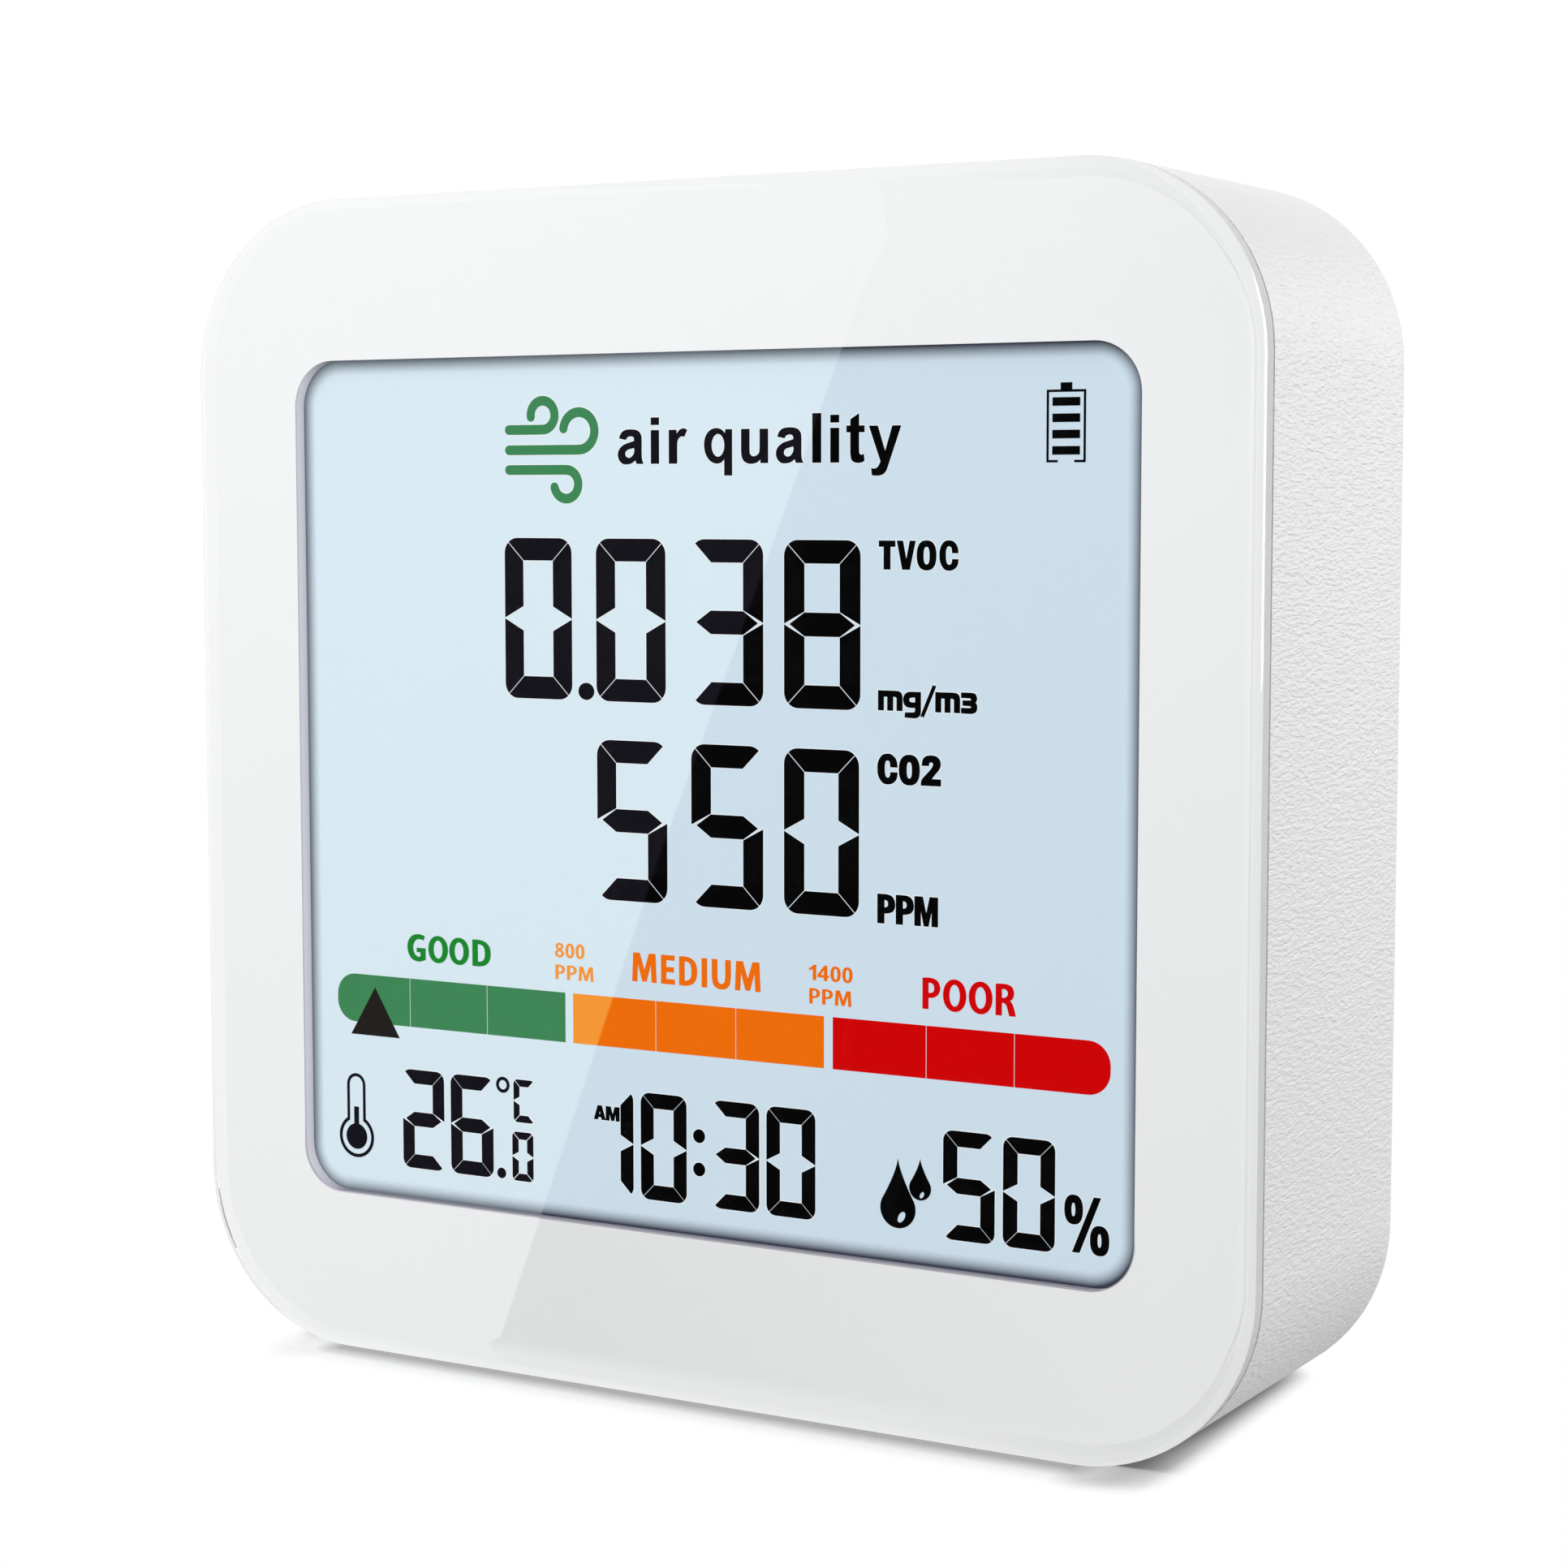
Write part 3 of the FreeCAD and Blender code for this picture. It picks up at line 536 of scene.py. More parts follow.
def window_wall():
    """Inner plastic, a mauve grey standing for white plastic in shade as painted shade; the
    side walls of the display opening glow as painted light from the display, and the top and
    bottom walls are painted darker.
    """
    tree = material("window_wall_plastic")
    coords = tree.coords()
    fine = tree.noise(900.0, coords, detail=4.0, rough=0.6)
    tone = tree.noise(60.0, coords, detail=3.0)
    colour = tree.mottled(tone, srgb(206, 202, 209), 0.97)
    x, y, z = tree.split(coords)

    def less(value, limit):
        return tree.math("LESS_THAN", value, limit)

    within = tree.mul(less(tree.abs(x), 0.0346),
                      less(tree.abs(tree.sub(z, CENTRE_Z * MM)), 0.0315))
    wall = tree.mul(within, less(y, (FACE_Y + 3.3) * MM))
    # painted light glows on the side walls, painted shade darkens the top and bottom walls
    side = tree.ramp(tree.abs(x), (0.0312, 0.0341))
    lit = tree.mul(wall, side)
    shaded = tree.mul(wall, tree.sub(1.0, side))
    return tree.principled(
        Base_Color=tree.mix(shaded, colour, srgb(152, 147, 157)),
        Roughness=tree.vary(fine, (0.41, 0.50)),
        Normal=tree.bump(fine, strength=0.15, distance=0.00003), IOR=PLASTIC_IOR,
        Emission_Color=tree.mix(tree.vary(tone, (0.0, 1.0)),
                                srgb(196, 193, 201), srgb(192, 189, 197)),
        Emission_Strength=tree.mul(lit, 0.62))


materials = {slot: plastic(*row) for slot, row in PLASTICS.items()}
materials.update({slot: metal(*row) for slot, row in METALS.items()})
materials.update({
    "lens": clear_plate(),
    "mask": back_print(),
    "white_shell": white_shell(),
    "display": display_ground(),
    "display_glass": translucent("display_glass", srgb(205, 225, 228), rough=0.02),
    "light_guide": translucent("light_guide", srgb(235, 242, 246), rough=0.08),
    "circuit_board": circuit_board(),
    "cell_foil": foil(),
    "gauze": gauze(),
})
wall_material = window_wall()

slot_of = {part["node"]: part["material_slot"] for part in frame["record"]["subparts"]}
for name, piece in nodes.items():
    chosen = wall_material if name == "front_frame" else materials[slot_of[name]]
    if not piece.material_slots:
        piece.data.materials.append(chosen)
    for slot in piece.material_slots:
        slot.material = chosen


# ---------------------------------------------------------------------------
# plate, print and sealing bead
# ---------------------------------------------------------------------------
CORNER_STEPS = 20
EDGE_STEPS = 12


def add_object(name, mesh, mat, body="case"):
    mesh.materials.append(mat)
    ob = bpy.data.objects.new(name, mesh)
    scene.collection.objects.link(ob)
    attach(ob, body)
    return ob


def solid(name, verts, faces, mat):
    mesh = bpy.data.meshes.new(name)
    mesh.from_pydata([tuple(v) for v in verts], [], faces)
    mesh.validate()
    bm = bmesh.new()
    bm.from_mesh(mesh)
    bmesh.ops.recalc_face_normals(bm, faces=bm.faces)
    bm.to_mesh(mesh)
    bm.free()
    return add_object(name, mesh, mat)


def rounded_rect(width, height, radius):
    """Outline about the face's centre, counter-clockwise seen from the front."""
    points = []
    for side_x, side_z, start in ((1, 1, 0), (-1, 1, 90), (-1, -1, 180), (1, -1, 270)):
        cx = side_x * (width / 2 - radius)
        cz = CENTRE_Z + side_z * (height / 2 - radius)
        for i in range(CORNER_STEPS + 1):
            angle = math.radians(start + 90.0 * i / CORNER_STEPS)
            points.append((cx + radius * math.cos(angle), cz + radius * math.sin(angle)))
    return points


def plate_solid(name, mat):
    """Plate with a finely divided rounded front edge."""
    rings = []
    for step in range(EDGE_STEPS + 1):
        angle = math.radians(90.0 * step / EDGE_STEPS)
        inset = PLATE_EDGE * (1 - math.sin(angle))
        depth = PLATE_EDGE * (1 - math.cos(angle))
        size = PLATE - 2 * inset
        rings.append([(x, depth, z)
                      for x, z in rounded_rect(size, size, PLATE_CORNER - inset)])
    rings.append([(x, PLATE_THICK, z) for x, z in rounded_rect(PLATE, PLATE, PLATE_CORNER)])
    count = len(rings[0])
    faces = []
    for k in range(len(rings) - 1):
        for i in range(count):
            j = (i + 1) % count
            near, far = k * count, (k + 1) * count
            faces.append((near + i, far + i, far + j, near + j))
    faces.append(tuple(range(count)))
    faces.append(tuple((len(rings) - 1) * count + i for i in reversed(range(count))))
    ob = solid(name, [place(*point) for ring in rings for point in ring], faces, mat)
    ob.data.shade_smooth()
    ob.data.set_sharp_from_angle(angle=math.radians(40))
    return ob


def flat_frame(name, outer, inner, front, back, mat):
    """Flat frame between two outlines with the same point count."""
    count = len(outer)
    verts = [place(x, depth, z) for depth in (front, back) for x, z in outer + inner]
    faces = []
    for i in range(count):
        j = (i + 1) % count
        out_i, out_j, in_i, in_j = i, j, count + i, count + j
        rear = 2 * count
        faces.append((out_i, out_j, in_j, in_i))
        faces.append((rear + out_i, rear + in_i, rear + in_j, rear + out_j))
        faces.append((out_i, rear + out_i, rear + out_j, out_j))
        faces.append((in_i, in_j, rear + in_j, rear + in_i))
    return solid(name, verts, faces, mat)


plate = plate_solid("acrylic_plate", materials["lens"])
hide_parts("front_lens")

printed = flat_frame("white_print", rounded_rect(85.96, 85.96, 12.73),
                     rounded_rect(OPENING_W, OPENING_H, OPENING_CORNER),
                     front=1.985, back=2.1, mat=materials["mask"])
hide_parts("lens_mask")

# grey bead of tape just inside the joint between plate and shell
bead = flat_frame("sealing_bead", rounded_rect(85.3, 85.3, 12.4),
                  rounded_rect(81.2, 81.2, 10.35),
                  front=2.105, back=2.295, mat=materials["tape"])

# ---------------------------------------------------------------------------
# flat prints from outlines; an outline is a list of (x, z) points
# ---------------------------------------------------------------------------
INK_FRONT, INK_THICK = DISPLAY_DEPTH - 0.030, 0.022
HALO_FRONT, HALO_THICK = DISPLAY_DEPTH - 0.006, 0.005
HALO_GROW = 0.065             # how far the pale edge reaches beyond the ink


def flat(name, loops, front=INK_FRONT, thick=INK_THICK, grow=0.0):
    """Closed outlines (nested ones are holes) -> thin solid mesh."""
    curve = bpy.data.curves.new(name + "_c", "CURVE")
    curve.dimensions = "2D"
    curve.fill_mode = "BOTH"
    curve.extrude = thick / 2 * MM
    curve.offset = grow * MM
    for loop in loops:
        spline = curve.splines.new("POLY")
        spline.points.add(len(loop) - 1)
        for point, (x, z) in zip(spline.points, loop):
            point.co = (x * MM, z * MM, 0, 1)
        spline.use_cyclic_u = True
    ob = bpy.data.objects.new(name + "_c", curve)
    scene.collection.objects.link(ob)
    ob.matrix_world = (Matrix.Translation(place(0, front + thick / 2, 0))
                       @ Matrix.Rotation(math.pi / 2, 4, "X"))
    bpy.context.view_layer.update()
    depsgraph = bpy.context.evaluated_depsgraph_get()
    mesh = bpy.data.meshes.new_from_object(ob.evaluated_get(depsgraph))
    mesh.transform(ob.matrix_world)
    bm = bmesh.new()
    bm.from_mesh(mesh)
    bmesh.ops.remove_doubles(bm, verts=bm.verts, dist=2e-7)
    bmesh.ops.dissolve_degenerate(bm, edges=bm.edges, dist=1e-7)
    bmesh.ops.recalc_face_normals(bm, faces=bm.faces)
    bm.to_mesh(mesh)
    bm.free()
    mesh.name = name
    bpy.data.objects.remove(ob)
    return mesh


def joined(name, meshes, mat, body="case"):
    bm = bmesh.new()
    for mesh in meshes:
        bm.from_mesh(mesh)
    whole = bpy.data.meshes.new(name)
    bm.to_mesh(whole)
    bm.free()
    for mesh in meshes:
        bpy.data.meshes.remove(mesh)
    return add_object(name, whole, mat, body)


def inked(name, loops, mat, grow=HALO_GROW):
    """Separate ink shapes with a pale edge under each."""
    joined(name, [flat(name, [loop]) for loop in loops], mat)
    # neighbouring edges lie at slightly different depths
    joined(name + "_edge", [flat(name + "_h%d" % i, [loop], HALO_FRONT - 0.0006 * (i % 3),
                                 HALO_THICK, grow) for i, loop in enumerate(loops)], halo)


def arc(cx, cz, radius, start, end, steps, radius_z=None):
    radius_z = radius if radius_z is None else radius_z
    points = []
    for i in range(steps + 1):
        angle = math.radians(start + (end - start) * i / steps)
        points.append((cx + radius * math.cos(angle), cz + radius_z * math.sin(angle)))
    return points


def disc(cx, cz, radius, steps, radius_z=None):
    return arc(cx, cz, radius, 0, 360 - 360 / steps, steps - 1, radius_z)


def washer(cx, cz, outer, inner, steps):
    return [disc(cx, cz, outer, steps), disc(cx, cz, inner, steps)[::-1]]


def rect(x0, x1, z0, z1):
    return [(x0, z0), (x1, z0), (x1, z1), (x0, z1)]


def stroke(points, width):
    """Open path with round ends -> closed outline."""
    left, right = [], []
    half = width / 2
    for i, (x, z) in enumerate(points):
        ax, az = points[max(i - 1, 0)]
        bx, bz = points[min(i + 1, len(points) - 1)]
        dx, dz = bx - ax, bz - az
        length = math.hypot(dx, dz)
        nx, nz = -dz / length, dx / length
        left.append((x + nx * half, z + nz * half))
        right.append((x - nx * half, z - nz * half))

    def cap(p, q):
        angle = math.degrees(math.atan2(p[1] - q[1], p[0] - q[0]))
        return arc((p[0] + q[0]) / 2, (p[1] + q[1]) / 2, half, angle, angle - 180, 8)[1:-1]

    return left + cap(left[-1], right[-1]) + right[::-1] + cap(right[0], left[0])


black = ink("segment_ink", (0.0008, 0.0007, 0.001, 1), sheen_share=0.0066,
            gleam=(1, 0.92, 1.5, 1))
halo = ink("segment_halo", srgb(232, 241, 246), sheen_share=0.3, glow=DISPLAY_GLOW)
green = ink("scale_green", srgb(58, 134, 82), sheen_share=0.012, glow=0.62)
green_text = ink("label_green", srgb(10, 134, 38), sheen_share=0.01, glow=0.62)
orange = ink("scale_orange", srgb(236, 107, 6), sheen_share=0.26, glow=0.70,
             gleam=(1.09, 0.74, 0.13, 1))
red = ink("scale_red", srgb(205, 1, 3), sheen_share=0.05, glow=0.70)

# ---------------------------------------------------------------------------
# segment numerals
# ---------------------------------------------------------------------------
# a top, b and c right, d bottom, e and f left, g middle; in drawing order
SEGMENTS = {"0": "abcdef", "1": "bc", "2": "abged", "3": "abgcd", "5": "afgcd",
            "6": "afgedc", "8": "abcdefg", "C": "afed"}


def digit(char, left, width, top, height, bar, gap=0.062):
    """Segments of one numeral as closed outlines; bar is the segment thickness."""
    bottom = top - height
    radius = 0.68 * bar
    shift = gap * 0.70
    cut = math.degrees(gap / 2 / radius)
    half_bar = bar * 0.52
    middle = height / 2

    def flip(points):       # top to bottom
        return [(x, height - z) for x, z in points][::-1]

    def mirror(points):     # left to right
        return [(width - x, z) for x, z in points][::-1]

    a = (arc(radius, height - radius, radius, 135 - cut, 90, 5)
         + arc(width - radius, height - radius, radius, 90, 45 + cut, 5)
         + [(width - bar - shift, height - bar), (bar + shift, height - bar)])
    f = ([(0, middle + gap / 2)]
         + arc(radius, height - radius, radius, 180, 135 + cut, 5)
         + [(bar, height - bar - shift), (bar, middle + half_bar + shift)])
    g_top = middle + half_bar - shift * 0.4
    g_bottom = middle - half_bar + shift * 0.4
    g = [(0.26 * bar, middle), (bar, g_top), (width - bar, g_top),
         (width - 0.26 * bar, middle), (width - bar, g_bottom), (bar, g_bottom)]
    shapes = {"a": a, "f": f, "b": mirror(f), "g": g,
              "d": flip(a), "e": flip(f), "c": mirror(flip(f))}
    return [[(left + x, bottom + z) for x, z in shapes[s]] for s in SEGMENTS[char]]


def numerals(places, **size):
    """places: (character, left, width)"""
    return [loop for row in places for loop in digit(*row, **size)]


inked("digits_gas",
      numerals([("0", -16.25, 5.8), ("0", -8.36, 5.83), ("3", -0.40, 5.85), ("8", 7.13, 6.0)],
               top=up(18.2), height=11.58, bar=1.61)
      + [disc(-9.24, up(7.27), 0.68, 22, 0.62)], black)
inked("digits_carbon",
      numerals([("5", -8.35, 5.90), ("5", -0.43, 5.86), ("0", 7.12, 5.92)],
               top=up(3.85), height=11.5, bar=1.61), black)
# temperature with its small C and decimal, clock with its colon, humidity
inked("digits_small",
      numerals([("2", -25.95, 3.80), ("6", -21.54, 3.84)],
               top=up(-21.54), height=7.46, bar=1.05, gap=0.040)
      + numerals([("1", -8.2, 2.78), ("0", -4.78, 3.86), ("3", 1.22, 3.86), ("0", 5.68, 3.94)],
                 top=up(-21.38), height=7.75, bar=1.09, gap=0.040)
      + numerals([("5", 19.62, 3.92), ("0", 24.16, 3.86)],
                 top=up(-21.70), height=7.54, bar=1.08, gap=0.040)
      + digit("C", -15.86, 1.84, top=up(-21.43), height=3.18, bar=0.52, gap=0.06)
      + digit("0", -16.0, 1.86, top=up(-25.33), height=3.65, bar=0.55, gap=0.07)
      + [disc(-16.98, up(-28.55), 0.40, 16)]
      + [disc(0.13, up(-24.10), 0.50, 18), disc(0.13, up(-26.50), 0.50, 18)],
      black, grow=0.07)

# ---------------------------------------------------------------------------
# black icons and the air pictogram
# ---------------------------------------------------------------------------
BULB_X, BULB_Z, TUBE_TOP = -30.33, up(-27.12), up(-23.15)


def bulb_arc(radius, neck, steps):
    """Bulb outline, open by the neck angle on each side of its top."""
    return arc(BULB_X, BULB_Z, radius, 90 + neck - 360, 90 - neck, steps)


def thermometer_outline(half_width, radius):
    neck = math.degrees(math.asin(half_width / radius))
    return bulb_arc(radius, neck, 30) + arc(BULB_X, TUBE_TOP, half_width, 0, 180, 14)


def drop(cx, tip_z, bottom, radius, hole):
    """Drop outline and its slanted oval hole; hole: x, z, half length."""
    body = arc(cx, bottom + radius, radius, 155, 385, 22)
    # concave flanks up to the tip
    flank_x, flank_z = body[-1]
    flank = []
    for i in range(1, 8):
        part = i / 8
        flank.append((cx + (flank_x - cx) * (1 - part) ** 1.35,
                      flank_z + (tip_z - flank_z) * part))
    mirrored = [(2 * cx - x, z) for x, z in flank][::-1]
    hole_x, hole_z, half = hole
    tilt = math.radians(-32)
    oval_hole = []
    for i in range(14):
        angle = 2 * math.pi * i / 14
        u, v = half * 0.55 * math.cos(angle), half * math.sin(angle)
        oval_hole.append((hole_x + u * math.cos(tilt) - v * math.sin(tilt),
                          hole_z + u * math.sin(tilt) + v * math.cos(tilt)))
    return [body + flank + [(cx, tip_z)] + mirrored, oval_hole[::-1]]


def battery():
    """Open outline, cap and four bars."""
    x0, x1, z0, z1 = 27.02, 29.85, up(23.38), up(28.12)
    wall, foot = 0.16, 0.82
    shapes = [rect(x0, x1, z1 - wall, z1),
              rect(x0, x0 + wall, z0, z1 - wall),
              rect(x1 - wall, x1, z0, z1 - wall),
              rect(x0 + wall, x0 + foot, z0, z0 + wall),
              rect(x1 - foot, x1 - wall, z0, z0 + wall),
              rect(28.02, 28.85, z1, up(28.58))]
    for i in range(4):
        bar_top = up(27.62) - i * 1.06
        shapes.append(rect(27.44, 29.43, bar_top - 0.56, bar_top))
    return shapes


icons = [
    flat("degree", washer(-16.82, up(-21.95), outer=0.60, inner=0.35, steps=28)),
    flat("thermometer", [thermometer_outline(0.86, 1.62),
                         thermometer_outline(0.62, 1.36)[::-1]]),
    flat("thermometer_fill", [bulb_arc(0.98, 13, 26) + [(BULB_X + 0.22, up(-24.85)),
                                                       (BULB_X - 0.22, up(-24.85))]]),
    flat("drop_big", drop(16.14, up(-24.08), up(-28.92), 1.37, (16.42, up(-28.12), 0.44))),
    flat("drop_small", drop(17.86, up(-23.92), up(-26.80), 0.84, (18.0, up(-26.42), 0.26)),
         front=INK_FRONT - 0.002),
]
icons += [flat("battery", [loop]) for loop in battery()]
joined("icons_black", icons, black)

# three lines, each ending in a curl:
# line height, end of the straight, curl centre x and z, radius, start and end angle
AIR_LINES = [
    (25.95, -12.9, -12.86, 26.98, 1.03, -88, 186),
    (24.5, -9.85, -9.76, 25.83, 1.33, -88, 172),
    (23.08, -10.95, -10.86, 22.05, 1.03, 88, -168),
]
inked("air_pictogram",
      [stroke([(-15.8, up(line_z)), (straight_end, up(line_z))]
              + arc(cx, up(cz), radius, start, end, 26)[1:], width=0.70)
       for line_z, straight_end, cx, cz, radius, start, end in AIR_LINES], green)


# ---------------------------------------------------------------------------
# lettering
# ---------------------------------------------------------------------------
def oval(cx, cz, radius_x, radius_z, power=2.3, steps=28):
    """Superellipse outline; a higher power is squarer."""
    points = []
    for i in range(steps):
        angle = 2 * math.pi * i / steps
        c, s = math.cos(angle), math.sin(angle)
        points.append((cx + radius_x * math.copysign(abs(c) ** (2 / power), c),
                       cz + radius_z * math.copysign(abs(s) ** (2 / power), s)))
    return points


def box(x0, x1, z0, z1):
    return [(x, z, 1) for x, z in rect(x0, x1, z0, z1)]


# Glyph sets: "height" is the letter height in glyph units; each character has its width
# and its shapes, a shape being an outline and its holes.  Points are (x, z), or
# (x, z, 1) for a corner; the others are smoothed.
LOWER = {
    "height": 168,
    "a": (135, [[
        [(135, 0, 1), (128, 18), (125, 45), (125, 123), (121, 148), (107, 165), (85, 172),
         (63, 173), (40, 170), (23, 160), (13, 146), (7, 128, 1), (43, 120, 1), (50, 132),
         (65, 138), (80, 135), (85, 126), (85, 115, 1), (63, 108), (35, 98), (15, 83),
         (3, 63), (1, 38), (10, 15), (27, 0), (47, -2), (70, 2), (93, 18, 1), (96, 6),
         (100, 0, 1)],
        [(85, 80, 1), (87, 66), (81, 46), (67, 33), (53, 32), (41, 42), (40, 58), (50, 69),
         (67, 75)]]]),
    "i": (43, [[box(0, 43, 0, 168)], [box(0, 43, 193, 231)]]),
    "l": (45, [[box(0, 45, 0, 240)]]),
    "r": (95, [[
        [(0, 0, 1), (43, 0, 1), (43, 90, 1), (45, 112), (54, 128), (66, 135), (80, 133, 1),
         (95, 167, 1), (82, 174), (68, 174), (53, 165), (40, 148, 1), (40, 168, 1),
         (0, 168, 1)]]]),
    "q": (143, [[
        [(143, 168, 1), (143, -60, 1), (103, -60, 1), (103, 20, 1), (88, 5), (68, -1),
         (44, 4), (22, 22), (6, 52), (0, 88), (4, 124), (18, 152), (40, 169), (66, 174),
         (90, 166), (107, 148, 1), (108, 168, 1)],
        oval(71, 89, 33, 56, 2.0)]]),
    "u": (138, [[
        [(0, 168, 1), (43, 168, 1), (43, 65, 1), (46, 45), (60, 34), (78, 38), (92, 52),
         (95, 78, 1), (95, 168, 1), (138, 168, 1), (138, 0, 1), (99, 0, 1), (99, 18, 1),
         (82, 4), (58, -3), (34, -1), (14, 11), (3, 32), (0, 60, 1)]]]),
    "t": (94, [[
        [(20, 145, 1), (0, 145, 1), (0, 178, 1), (20, 178, 1), (20, 208, 1), (64, 236, 1),
         (64, 178, 1), (92, 178, 1), (92, 145, 1), (64, 145, 1), (64, 55, 1), (67, 42),
         (77, 37), (88, 42, 1), (92, 8, 1), (76, 0), (54, -2), (35, 4), (24, 18),
         (20, 44, 1)]]]),
    "y": (163, [[
        [(0, 176, 1), (45, 176, 1), (82, 55, 1), (118, 176, 1), (163, 176, 1), (100, -8, 1),
         (88, -40), (70, -58), (45, -64), (15, -62, 1), (12, -27, 1), (30, -29), (46, -20),
         (59, 4, 1)]]]),
}
HEAVY = {   # condensed heavy capitals
    "height": 240,
    "T": (133, [[
        [(0, 240, 1), (133, 240, 1), (133, 188, 1), (94, 188, 1), (94, 0, 1), (39, 0, 1),
         (39, 188, 1), (0, 188, 1)]]]),
    "V": (152, [[
        [(0, 240, 1), (50, 240, 1), (77, 88, 1), (104, 240, 1), (152, 240, 1), (105, 0, 1),
         (44, 0, 1)]]]),
    "O": (158, [[oval(79, 120, 79, 124, 2.4), oval(79, 118, 24, 72, 2.6)]]),
    "C": (155, [[
        [(153, 140, 1), (149, 180), (134, 216), (106, 240), (75, 245), (40, 235), (14, 200),
         (2, 160), (0, 120), (3, 78), (17, 38), (43, 5), (75, -4), (110, 3), (138, 26),
         (151, 58), (154, 92, 1), (103, 92, 1), (99, 62), (85, 46), (66, 51), (55, 78),
         (52, 120), (54, 165), (66, 192), (84, 195), (98, 180), (102, 140, 1)]]]),
    "2": (150, [[
        [(0, 0, 1), (150, 0, 1), (150, 50, 1), (75, 50, 1), (104, 92), (136, 135),
         (148, 175), (140, 215), (112, 240), (75, 246), (38, 238), (14, 212), (6, 165, 1),
         (56, 165, 1), (61, 188), (76, 197), (92, 188), (94, 166), (78, 135), (40, 88),
         (8, 48), (0, 22, 1)]]]),
    "P": (142, [[
        [(0, 0, 1), (52, 0, 1), (52, 84, 1), (88, 88), (122, 102), (140, 132), (142, 168),
         (132, 206), (106, 232), (68, 240, 1), (0, 240, 1)],
        [(52, 128, 1), (70, 130), (86, 142), (90, 165), (85, 186), (70, 196),
         (52, 198, 1)]]]),
    "M": (188, [[
        [(0, 0, 1), (46, 0, 1), (46, 160, 1), (77, 0, 1), (111, 0, 1), (142, 160, 1),
         (142, 0, 1), (188, 0, 1), (188, 240, 1), (125, 240, 1), (94, 88, 1), (63, 240, 1),
         (0, 240, 1)]]]),
    "A": (160, [[
        [(0, 0, 1), (50, 0, 1), (58, 44, 1), (102, 44, 1), (110, 0, 1), (160, 0, 1),
         (107, 240, 1), (53, 240, 1)],
        [(66, 88, 1), (94, 88, 1), (80, 165, 1)]]]),
}
SQUARE = {   # rounded-square shapes, height of the m
    "height": 150,
    "m": (190, [[
        [(0, 0, 1), (40, 0, 1), (40, 110, 1), (74, 110, 1), (74, 0, 1), (114, 0, 1),
         (114, 110, 1), (136, 110), (149, 98, 1), (149, 0, 1), (190, 0, 1), (190, 102, 1),
         (184, 130), (166, 147), (138, 152, 1), (0, 152, 1)]]]),
    "g": (135, [[
        [(135, 148, 1), (52, 148, 1), (22, 138), (4, 112), (0, 85), (8, 52), (28, 33),
         (55, 28, 1), (96, 28, 1), (95, 2), (88, -14, 1), (14, -17, 1), (12, -50, 1),
         (85, -54), (112, -48), (130, -30), (135, -5, 1)],
        [(96, 110, 1), (62, 109), (46, 101), (42, 87), (47, 73), (62, 65), (96, 65, 1)]]]),
    "/": (107, [[
        [(0, -24), (4, -34), (14, -36), (22, -28), (107, 186), (104, 196), (94, 198),
         (85, 190)]]]),
    "3": (122, [[
        [(0, 156, 1), (82, 155), (108, 147), (120, 120), (116, 96), (106, 82, 1), (118, 68),
         (122, 42), (114, 14), (92, 0), (60, -3), (0, -1, 1), (0, 35, 1), (70, 36),
         (80, 46), (70, 58, 1), (12, 60, 1), (12, 94, 1), (70, 96), (80, 107),
         (70, 119, 1), (0, 121, 1)]]]),
}
